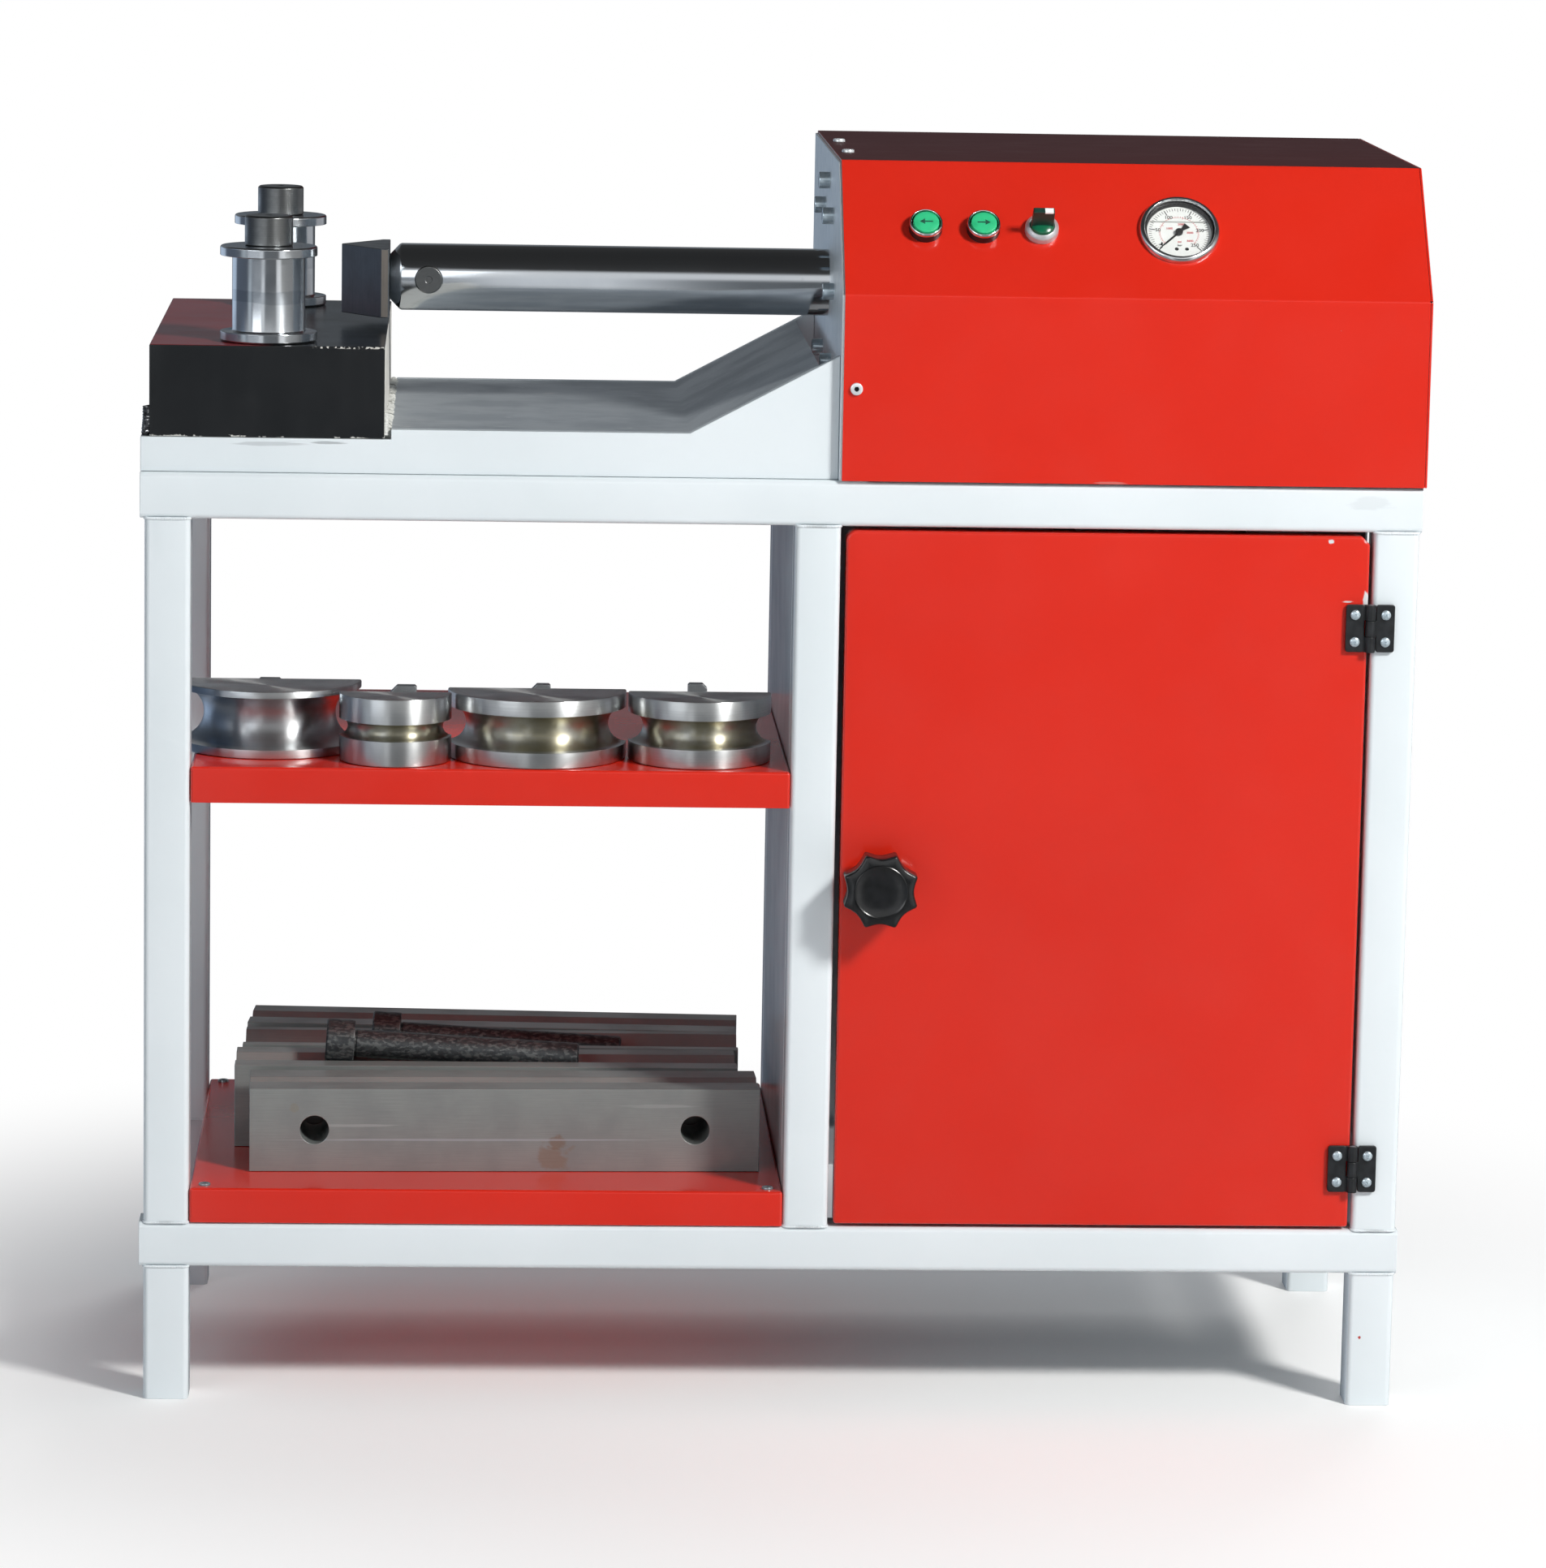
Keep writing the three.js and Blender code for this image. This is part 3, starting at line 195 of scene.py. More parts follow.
class Graph(Nodes):
    """Node tree of one material."""

    def __init__(self, name: str) -> None:
        """Starts an empty tree with its shader and output."""
        self.material = bpy.data.materials.new(name)
        self.material.use_nodes = True
        super().__init__(self.material.node_tree)
        self.shader = self.tree.nodes["Principled BSDF"]
        self.seat = self.add("ShaderNodeTexCoord").outputs
        self.parts = self.split(self.seat["Object"])

    def facing(self) -> list[Socket]:
        """Returns the three parts of the surface's direction in the piece's own axes."""
        return self.split(self.seat["Normal"])

    def reach(self) -> Socket:
        """Returns the distance from the piece's own Z axis."""
        across = [self.times(part, part) for part in self.parts[:2]]
        return self.math("SQRT", self.plus(*across))

    def noise(self, size: float, detail: float = 3, stretch: Place = EVEN, shift: float = 0,
              source: Socket | None = None) -> Socket:
        """Adds a noise whose blobs have a given size.

        Args:
            size: Size of a blob in millimetres.
            detail: Number of finer layers.
            stretch: How much longer the blobs are along each axis.
            shift: Moves the pattern, so that two noises differ.
            source: Point to read, or the piece's own place.

        Returns:
            The noise's value, from about 0.3 to 0.7.
        """
        scale = [1 / part for part in stretch]
        mapping = self.add("ShaderNodeMapping", source or self.seat["Object"], [shift] * 3, None, scale)
        return self.add("ShaderNodeTexNoise", mapping.outputs[0], None, 1 / (size * MM), detail).outputs[0]

    def grain(self, grain: Grain, size: float = 0.35) -> Socket:
        """Adds the fine lines of a tool.

        Args:
            grain: Direction of the lines.
            size: Width of a line in millimetres.

        Returns:
            The lines' value.
        """
        if grain is Grain.RINGS:
            pair = self.add("ShaderNodeCombineXYZ", self.reach(), self.parts[2])
            return self.noise(size, 2, source=pair.outputs[0])
        return self.noise(size, 2, grain.value)

    def bump(self, height: Socket, depth: float) -> None:
        """Raises the surface by a pattern.

        Args:
            height: Pattern, from 0 to 1.
            depth: Height of its full step in millimetres.
        """
        node = self.add("ShaderNodeBump")
        node.inputs["Distance"].default_value = depth * MM
        self.feed(node.inputs["Height"], height)
        self.feed(self.shader.inputs["Normal"], node.outputs[0])

    def set(self, **values: Socket | float | Colour) -> None:
        """Links or sets the shader's own sockets, with _ for a blank in their names."""
        for name, value in values.items():
            self.feed(self.shader.inputs[name.replace("_", " ")], value)


@dataclass(frozen=True)
class Mark:
    """A small chip, smudge, stain or painted reflection at one place on a piece, in its own millimetres."""

    spot: Place
    radius: float
    colour: Colour
    stretch: Place = EVEN
    strength: float = 1
    ragged: float = 0.9

    def show(self, graph: Graph, tone: Socket) -> Socket:
        """Blends the mark over a colour.

        Args:
            graph: Material to add to.
            tone: Colour under the mark.

        Returns:
            The colour with the mark.
        """
        away = graph.vector("SUBTRACT", graph.seat["Object"], [part * MM for part in self.spot])
        squeezed = graph.vector("MULTIPLY", away[0], [1 / part for part in self.stretch])
        length = graph.vector("LENGTH", squeezed[0])["Value"]
        edge = graph.noise(self.radius * 0.7, 5, self.stretch, 0.3)
        warped = graph.plus(length, graph.times(edge, self.radius * MM * self.ragged))
        reach = self.radius * MM * (1 + self.ragged * 0.5)
        return graph.blend(graph.ramp(warped, reach * 0.75, reach, self.strength, 0), tone, self.colour)


@dataclass(frozen=True)
class Paint:
    """Sprayed enamel with orange peel, faint clouds of tone, tiny specks and marks where it is chipped;
    upward faces can carry painted shade and reflection.
    """

    name: str
    slot: str
    colour: Colour
    shade: Colour
    chip: Colour = (120, 118, 116)
    gloss: float = 0.23
    chips: float = 0.8
    peel: float = 0.006
    coat: float = 0.35
    # top: colour painted on upward faces as shade and a dark reflection
    top: Colour | None = None
    bare_edge: Colour = (196, 200, 200)
    marks: tuple[Mark, ...] = ()

    def dress(self, graph: Graph) -> None:
        """Builds the paint's nodes.

        Args:
            graph: Material to build in.
        """
        tone = graph.blend(graph.ramp(graph.noise(260, 3), 0.3, 0.7), self.colour, self.shade)
        specks = graph.ramp(graph.noise(4, 3, shift=3.1), self.chips, self.chips + 0.03)
        tone = graph.blend(specks, tone, self.chip)
        sheen = graph.ramp(graph.noise(60, 3, shift=1.7), 0.3, 0.7, self.gloss - 0.03, self.gloss + 0.03)
        if self.top is not None:
            left, _, up = graph.facing()
            # Painted shade and reflection: upward faces turn dark maroon, with pale reflection streaks
            level = graph.ramp(up, 0.9, 0.97)
            top_reflection_streaks = graph.ramp(graph.noise(9, 4, (6, 1, 1)), 0.5, 0.8, 0, 0.12)
            painted_top_shade = graph.blend(top_reflection_streaks, self.top, (120, 100, 102))
            tone = graph.blend(level, tone, painted_top_shade)
            tone = graph.blend(graph.ramp(left, -0.97, -0.9, 1, 0), tone, self.bare_edge)
            sheen = graph.plus(sheen, graph.times(level, 0.5))
        for mark in self.marks:
            tone = mark.show(graph, tone)
        graph.bump(graph.noise(2.2, 2, shift=0.4), self.peel)
        graph.set(Base_Color=tone, Roughness=sheen, Coat_Weight=self.coat, Coat_Roughness=0.1)


# Dark tone painted inside screw sockets as shade.
SOCKET_SHADE = (34, 34, 36)


@dataclass(frozen=True)
class Steel:
    """Bare metal with tool lines, cloudy patches, a worn band, a pale cut edge, painted shade in a screw
    socket, and stains.
    """

    name: str
    slot: str
    colour: Colour
    shade: Colour
    rough: float
    grain: Grain = Grain.NONE
    line: float = 0.35
    depth: float = 0.004
    patch: float = 40
    patches: float = 0.4
    stain: Colour | None = None
    stain_size: float = 14
    stain_from: float = 0.62
    stain_stretch: Place = EVEN
    anisotropic: float = 0
    spread: float = 0.05
    metal: float = 1
    band: Point | None = None
    rim: Colour | None = None
    # radius of a screw socket painted dark inside as shade
    socket: float = 0
    marks: tuple[Mark, ...] = ()

    def dress(self, graph: Graph) -> None:
        """Builds the metal's nodes.

        Args:
            graph: Material to build in.
        """
        clouds = graph.ramp(graph.noise(self.patch, 4, shift=0.9), 0.34, 0.68)
        lines = graph.grain(self.grain, self.line)
        tone = graph.blend(graph.times(clouds, self.patches), self.colour, self.shade)
        tone = graph.blend(graph.ramp(lines, 0.35, 0.75, 0, 0.3), tone, self.shade)
        if self.band is not None:
            height = graph.plus(graph.parts[2], graph.times(clouds, 0.002))
            start, end = (level * MM for level in self.band)
            above = graph.ramp(height, start - MM, start)
            inside = graph.times(above, graph.ramp(height, end, end + MM, 1, 0))
            tone = graph.blend(graph.times(inside, 0.45), tone, self.shade)
        if self.rim is not None:
            across = graph.ramp(graph.math("ABSOLUTE", graph.facing()[0]), 0.4, 0.6, 1, 0)
            pale = graph.times(across, graph.ramp(graph.noise(2.5, 4), 0.3, 0.5, 0.5, 1))
            tone = graph.blend(pale, tone, self.rim)
        if self.stain is not None:
            stains = graph.noise(self.stain_size, 6, self.stain_stretch, 5.3)
            tone = graph.blend(graph.ramp(stains, self.stain_from, self.stain_from + 0.12), tone, self.stain)
        if self.socket > 0:
            # Painted shade: the inside of the socket is darkened.
            edge = self.socket * MM
            tone = graph.blend(graph.ramp(graph.reach(), edge * 0.9, edge, 1, 0), tone, SOCKET_SHADE)
        for mark in self.marks:
            tone = mark.show(graph, tone)
        worn = graph.plus(graph.times(clouds, 0.5), graph.times(lines, 0.5))
        smooth = max(0.04, self.rough - self.spread)
        sheen = graph.ramp(worn, 0.2, 0.8, smooth, self.rough + self.spread)
        graph.bump(lines, self.depth)
        graph.set(Base_Color=tone, Roughness=sheen, Metallic=self.metal, Anisotropic=self.anisotropic,
                  Anisotropic_Rotation=0.25)


@dataclass(frozen=True)
class GrooveSteel:
    """Turned steel whose groove and left side carry faint heat tints."""

    name: str
    slot: str
    colour: Colour
    shade: Colour
    tint: Colour
    side_tint: Colour
    outer: float
    rough: float = 0.33

    def dress(self, graph: Graph) -> None:
        """Builds the tinted metal's nodes.

        Args:
            graph: Material to build in.
        """
        level = graph.ramp(graph.facing()[2], 0.9, 0.99, 1, 0)
        inner, outer = (self.outer - 3) * MM, self.outer * MM
        inside = graph.times(level, graph.ramp(graph.reach(), inner, outer, 1, 0))
        clouds = graph.noise(26, 4)
        lines = graph.grain(Grain.RINGS, 0.45)
        tone = graph.blend(graph.ramp(clouds, 0.3, 0.7, 0, 0.4), self.colour, self.shade)
        tone = graph.blend(graph.times(inside, graph.ramp(clouds, 0.25, 0.6, 0.35, 0.9)), tone, self.tint)
        across = graph.plus(graph.parts[0], graph.times(clouds, 0.03))
        left = graph.ramp(across, -0.06, 0.015, 0.75, 0)
        tone = graph.blend(graph.times(left, level), tone, self.side_tint)
        tone = graph.blend(graph.ramp(lines, 0.4, 0.75, 0, 0.25), tone, self.shade)
        graph.bump(lines, 0.006)
        sheen = graph.ramp(lines, 0.3, 0.7, self.rough - 0.04, self.rough + 0.06)
        graph.set(Base_Color=tone, Roughness=sheen, Metallic=1, Anisotropic=0.85, Anisotropic_Rotation=0.25)


@dataclass(frozen=True)
class BlockPaint:
    """Black enamel on the bolster block: a painted maroon reflection on the left of the top, and a pale right
    face.
    """

    name: str = "block_black"
    slot: str = "black_block"
    colour: Colour = (24, 26, 28)
    # maroon painted on the top's left part as a reflection
    haze: Colour = (132, 38, 42)
    spray: Colour = (210, 208, 202)

    def dress(self, graph: Graph) -> None:
        """Builds the block's nodes.

        Args:
            graph: Material to build in.
        """
        x, y, z = graph.parts
        right, _, up = graph.facing()
        sheen = graph.ramp(graph.noise(30, 3, (1, 1, 4), 2), 0.45, 0.75, 0, 0.25)
        tone = graph.blend(sheen, self.colour, (42, 44, 46))
        # Painted reflection: the top's left part turns maroon.
        left_reflection_mask = graph.ramp(graph.plus(x, graph.times(graph.noise(60, 3), 0.03)), 0.085, 0.125, 0.9, 0)
        tone = graph.blend(graph.times(graph.ramp(up, 0.6, 0.9), left_reflection_mask), tone, self.haze)
        # The right face is made pale in patches and rougher; the same pale tone marks chips at the foot and
        # nicks on the front rim.
        patchy_mask = graph.ramp(graph.noise(6, 5, (1, 1, 4)), 0.26, 0.36)
        side = graph.times(graph.ramp(right, 0.6, 0.9), patchy_mask)
        foot = graph.ramp(graph.plus(z, graph.times(graph.noise(5, 5), 0.006)), 0.0035, 0.0045, 1, 0)
        chips = graph.times(foot, graph.ramp(graph.noise(9, 3, shift=4), 0.54, 0.58))
        rim = graph.times(graph.ramp(y, 0.0012, 0.003, 1, 0), graph.ramp(z, 0.0775, 0.079))
        nicks = graph.times(rim, graph.ramp(graph.noise(3, 4, shift=7), 0.52, 0.58))
        for share in (side, chips, graph.times(nicks, graph.ramp(x, 0.14, 0.15))):
            tone = graph.blend(share, tone, self.spray)
        gloss = graph.ramp(graph.noise(45, 3, shift=1), 0.3, 0.7, 0.2, 0.26)
        graph.bump(graph.noise(1.6, 3), 0.03)
        graph.set(Base_Color=tone, Roughness=graph.plus(gloss, graph.times(side, 0.65)))


@dataclass(frozen=True)
class Moulding:
    """Plastic, rubber, glass or ink with a fine skin and slight changes of tone."""

    name: str
    slot: str
    colour: Colour
    shade: Colour
    rough: float = 0.4
    skin: float = 0.7
    depth: float = 0.02
    coat: float = 0
    solid: float = 1

    def dress(self, graph: Graph) -> None:
        """Builds the plastic's nodes.

        Args:
            graph: Material to build in.
        """
        low, high = max(0.02, self.rough - 0.03), self.rough + 0.03
        graph.bump(graph.noise(self.skin, 3), self.depth)
        tone = graph.blend(graph.ramp(graph.noise(9, 4), 0.35, 0.7), self.colour, self.shade)
        sheen = graph.ramp(graph.noise(4, 4, shift=2.2), 0.3, 0.7, low, high)
        graph.set(
            Base_Color=tone, Roughness=sheen, Coat_Weight=self.coat, Coat_Roughness=0.08, Alpha=self.solid)


@dataclass(frozen=True)
class StageFloor:
    """Pale floor that keeps the press's shadow and turns to plain white further away for the camera."""

    name: str = "studio_floor"
    colour: Colour = (252, 252, 252)
    near: float = 0.4
    far: float = 1.3

    def dress(self, graph: Graph) -> None:
        """Builds the floor's nodes.

        Args:
            graph: Material to build in.
        """
        graph.set(Base_Color=self.colour, Roughness=0.9, Specular_IOR_Level=0)
        seen = graph.add("ShaderNodeLightPath").outputs["Is Camera Ray"]
        white = graph.add("ShaderNodeEmission").outputs[0]
        share = graph.times(graph.ramp(graph.reach(), self.near, self.far), seen)
        mixed = graph.add("ShaderNodeMixShader", share, graph.shader.outputs[0], white)
        graph.feed(graph.tree.nodes["Material Output"].inputs["Surface"], mixed.outputs[0])


Finish = Paint | Steel | GrooveSteel | BlockPaint | Moulding | StageFloor
CHIP, SMUDGE, PALE = (96, 92, 92), (176, 182, 186), (206, 206, 208)
SEAMS = ((20, 161), (586, 161), (1094, 161), (586, 788))
WHITE_MARKS = (
    Mark((1084.7, 0, 62.7), 1.6, (176, 60, 54)),
    Mark((1115, 0, 50.2), 2.2, CHIP),
    Mark((1070.2, 0, 814.3), 7, SMUDGE, (3.2, 1, 1), 0.22, 1.6),
    Mark((106.4, 8, 853.5), 2.2, SMUDGE, (16, 1, 1), 0.6),
    Mark((158, 8, 855), 1.5, (150, 156, 160), (12, 1, 1), 0.7),
    *(Mark((x, 0, z), 1.9, SMUDGE, (9, 1, 1), 0.65) for x, z in SEAMS),
)
DOOR_MARKS = (
    Mark((1068.4, 0, 729), 3.2, PALE, (1, 1, 2.6)),
    Mark((1052, 0, 727), 1, PALE, (5, 1, 1), 0.8),
    Mark((1036, 0, 780), 2.4, PALE, (1.2, 1, 1)),
    Mark((1067, 0, 781), 1.6, PALE, (1.6, 1, 1.6), 0.5),
)
COVER_MARKS = (
    Mark((1116.5, -3.2, 992), 1.6, (30, 22, 24)),
    Mark((840, -3.2, 829.5), 1.4, (206, 120, 112), (12, 1, 1), 0.7),
)
DECK_MARKS = (
    Mark((262, 62, 867), 5, (206, 210, 212), (2.4, 1, 1), 0.5),
    Mark((312, 46, 867), 4, (206, 210, 212), (2.8, 1, 1), 0.5),
    Mark((420, 120, 867), 3, (196, 200, 204), (1.5, 1, 1), 0.4),
)
BAR_STAINS_AND_REFLECTION = (
    Mark((272, 0, 13), 17, (132, 102, 76), (1.1, 1, 0.8), 0.45, 2.4),
    Mark((275, 0, 27), 9, (124, 92, 66), (1.1, 1, 0.8), 0.5, 2),
    Mark((95, 0, 42), 2.2, (186, 188, 188), (22, 1, 0.7), 0.4),
    # A pale bluish line along the front face is a painted reflection.
    Mark((210, 0, 29), 1.2, (188, 194, 204), (160, 1, 1), 0.4),
    Mark((370, 0, 60), 2.5, (186, 188, 188), (16, 1, 0.8), 0.25),
    Mark((40, 0, 58), 5, (140, 132, 116), EVEN, 0.4),
)
WHITE = Paint(
    "stand_white", "white_paint", (224, 231, 235), (217, 225, 229), (150, 150, 150), marks=WHITE_MARKS)
RED = Paint("guard_red", "red_paint", (209, 39, 22), (205, 37, 21), (170, 110, 104))
RED_DOOR = replace(RED, name="door_red", marks=DOOR_MARKS)
# The cover's top colour is painted shade and dark reflection.
RED_COVER = replace(RED, name="cover_red", coat=0.05, top=(58, 10, 14), marks=COVER_MARKS)
TANK_GREY = Paint("tank_grey", "grey_metal", (138, 144, 148), (128, 134, 138), (92, 92, 92), 0.38, 0.74)
BARREL_BLACK = Paint("barrel_black", "dark_steel", (40, 42, 44), (32, 34, 36), (110, 110, 108), 0.4, 0.74)
BLOCK = BlockPaint()
PLATE_STEEL = Steel(
    "bed_steel", "raw_steel", (186, 192, 197), (142, 150, 158), 0.38, Grain.ALONG_X, 1.2, 0.008, 60, 0.6,
    (208, 210, 212), 26, 0.64, metal=0.35, marks=DECK_MARKS)
CUT_STEEL = Steel(
    "cut_plate", "cut_steel", (238, 245, 249), (208, 219, 227), 0.42, Grain.ALONG_Z, 0.8, 0.04, 18,
    metal=0.55, rim=(244, 247, 248))
TURNED = Steel(
    "turned_steel", "turned_steel", (208, 212, 216), (150, 158, 166), 0.2, Grain.RINGS, 0.3, 0.004, 30,
    0.25, anisotropic=0.8, band=(36, 45))
PIN_STEEL = Steel(
    "pin_steel", "raw_steel", (138, 140, 140), (88, 90, 92), 0.34, Grain.RINGS, 0.45, 0.006, 16, 0.5)
POLISHED = Steel(
    "polished_ram", "polished_steel", (206, 210, 214), (184, 190, 196), 0.12, Grain.RINGS, 0.25, 0.001, 80,
    0.3, (160, 164, 168), 26, 0.68, spread=0.03)
DARK_STEEL = Steel(
    "punch_steel", "dark_steel", (132, 136, 140), (96, 100, 104), 0.36, Grain.ALONG_Z, 0.6, 0.008, 24)
EDGE_STEEL = replace(DARK_STEEL, name="punch_edge", colour=(172, 164, 156), shade=(120, 114, 110))
OXIDE = Steel(
    "black_oxide", "dark_steel", (74, 76, 78), (48, 50, 53), 0.4, Grain.RINGS, 0.5, 0.01, 8, 0.8,
    (98, 100, 100), 2.6, 0.48, (1, 1, 2), metal=0.6)
BRIGHT = Steel(
    "bright_plating", "bright_plating", (226, 228, 230), (206, 210, 214), 0.08, Grain.RINGS, 0.2, 0.0005,
    12, spread=0.02)
GAUGE_RING = replace(BRIGHT, name="gauge_ring_steel", rough=0.2, spread=0.03)
SATIN = Steel(
    "satin_metal", "grey_metal", (212, 213, 215), (192, 194, 198), 0.34, Grain.RINGS, 0.2, 0.0005, 30,
    metal=0.6)
ZINC = Steel(
    "zinc_bolt", "cut_steel", (206, 220, 228), (150, 168, 180), 0.22, Grain.RINGS, 0.4, 0.004, 5, 0.4,
    (232, 238, 242), 3, 0.6, metal=0.6)
BOLT = replace(ZINC, name="flange_bolt_zinc", socket=3.9)
SCREW = replace(
    ZINC, name="cover_screw_zinc", colour=(240, 243, 245), shade=(206, 214, 220), metal=0.4, socket=2.2)
TRAY_SCREW = replace(ZINC, name="tray_screw_zinc", colour=(150, 158, 162), shade=(96, 104, 110), socket=1.8)
BAR_STEEL = Steel(
    "bar_steel", "raw_steel", (150, 154, 152), (122, 126, 126), 0.38, Grain.ALONG_X, 0.6, 0.006, 60, 0.6,
    metal=0.42)
FRONT_BAR = replace(BAR_STEEL, name="front_bar_steel", marks=BAR_STAINS_AND_REFLECTION)
KEY_STEEL = Steel(
    "key_steel", "turned_steel", (158, 160, 162), (104, 106, 110), 0.34, Grain.ALONG_Y, 0.5, 0.008, 10)
WELD = Steel(
    "weld_metal", "cut_steel", (216, 217, 213), (172, 172, 168), 0.7, Grain.NONE, 1, 0.12, 6, 0.5,
    (150, 146, 140), 4, 0.66, metal=0)
DARK_WELD = Steel(
    "dark_weld", "dark_steel", (60, 62, 66), (30, 30, 32), 0.22, Grain.NONE, 1, 0.1, 4, 0.8,
    (190, 194, 198), 3, 0.6, metal=0.6)
# Dark maroon painted on the bezels' lower wall as shade and dark reflection.
SHADED_SKIRT = Moulding("button_skirt_painted_shade", "bright_plating", (34, 22, 26), (26, 18, 22), 0.34, 0.4, 0.002)
MINT = Moulding("button_mint", "green_plastic", (50, 190, 130), (42, 176, 118), 0.36, 0.6, 0.004)
DEEP_GREEN = Moulding("selector_green", "green_plastic", (12, 98, 66), (10, 82, 56), 0.22, 0.6, 0.004)
HANDLE_GREEN = Moulding("handle_green", "green_plastic", (26, 62, 52), (20, 50, 43), 0.36, 0.6, 0.004)
ARROW_GREEN = Moulding("arrow_green", "green_plastic", (22, 84, 64), (18, 74, 56), 0.5, 0.6, 0.002)
MARK_WHITE = Moulding("mark_white", "white_paint", (242, 244, 243), (236, 239, 238), 0.4, 0.6, 0.002)
DIAL_WHITE = Moulding("dial_white", "bright_plating", (248, 250, 247), (243, 245, 242), 0.5, 1.5, 0.001)
LEVEL_GREY = Moulding("dial_level", "clear_glass", (168, 170, 166), (150, 152, 150), 0.34, 0.6, 0.001)
INK_BLACK = Moulding("dial_black", "black_plastic", (14, 14, 16), (22, 22, 24), 0.5, 0.5, 0.001)
INK_RED = Moulding("dial_red", "red_paint", (206, 40, 46), (192, 38, 42), 0.5, 0.5, 0.001)
KNOB_BLACK = Moulding("knob_black", "black_plastic", (20, 21, 22), (27, 28, 30), 0.23, 0.45, 0.01)
HINGE_BLACK = Moulding("hinge_black", "black_plastic", (26, 28, 30), (38, 40, 43), 0.34, 0.5, 0.02)
RUBBER = Moulding("hose_rubber", "black_rubber", (28, 28, 29), (38, 38, 40), 0.6, 1.2, 0.05)
GLASS = Moulding("gauge_glass", "clear_glass", (130, 132, 132), (124, 126, 126), 0.03, 3, 0.0002, 0, 0.05)

_MATERIALS: dict[str, bpy.types.Material] = {}


def material(finish: Finish) -> bpy.types.Material:
    """Returns a finish's material, made once."""
    if finish.name not in _MATERIALS:
        graph = Graph(finish.name)
        finish.dress(graph)
        _MATERIALS[finish.name] = graph.material
    return _MATERIALS[finish.name]


def added(name: str, data: bpy.types.ID) -> bpy.types.Object:
    """Puts a new object in the scene."""
    obj = bpy.data.objects.new(name, data)
    bpy.context.scene.collection.objects.link(obj)
    return obj


def place(x: float, y: float, z: float) -> Vector:
    """Turns millimetres on the press into metres in the frame."""
    return Vector((x, y, z)) * MM + SHIFT


def bends(points: list[Point]) -> list[tuple[Vector, Vector, Vector, float]]:
    """Returns each corner of a closed outline, its two directions away and half the angle between them."""
    result = []
    for index, point in enumerate(points):
        corner = Vector(point)
        before = (Vector(points[index - 1]) - corner).normalized()
        after = (Vector(points[(index + 1) % len(points)]) - corner).normalized()
        result.append((corner, before, after, before.angle(after) / 2))
    return result


def rounded(points: list[Point], radii: float | list[float], steps: int = 6,
            inset: float = 0) -> list[Point]:
    """Rounds the corners of a closed outline.

    Args:
        points: Corners in order, turning left at each where the outline moves inwards.
        radii: One radius for all corners, or one for each.
        steps: Pieces in each arc.
        inset: How far the outline moves inwards.

    Returns:
        The outline with arcs in its corners.
    """
    sizes = [radii] * len(points) if isinstance(radii, (int, float)) else radii
    if inset:
        points = [tuple(corner + (before + after).normalized() * inset / sin(half))
                  for corner, before, after, half in bends(points)]
        sizes = [max(radius - inset, 0.1) for radius in sizes]
    result: list[Point] = []
    for (corner, before, after, half), radius in zip(bends(points), sizes):
        if radius <= 0:
            result.append(tuple(corner))
            continue
        reach = radius / tan(half)
        centre = corner + (before + after).normalized() * radius / sin(half)
        start = corner + before * reach - centre
        end = corner + after * reach - centre
        sweep = copysign(pi - 2 * half, start.x * end.y - start.y * end.x)
        for step in range(steps + 1):
            turn = Matrix.Rotation(sweep * step / steps, 2)
            result.append(tuple(centre + turn @ start))
    return result


def circle(radius: float, sides: int = 64, middle: Point = (0, 0)) -> list[Point]:
    """Returns the points of a circle."""
    angles = [tau * step / sides for step in range(sides)]
    return [(middle[0] + radius * cos(a), middle[1] + radius * sin(a)) for a in angles]


def oblong(left: float, right: float, low: float, high: float) -> list[Point]:
    """Returns the corners of a rectangle."""
    return [(left, low), (right, low), (right, high), (left, high)]


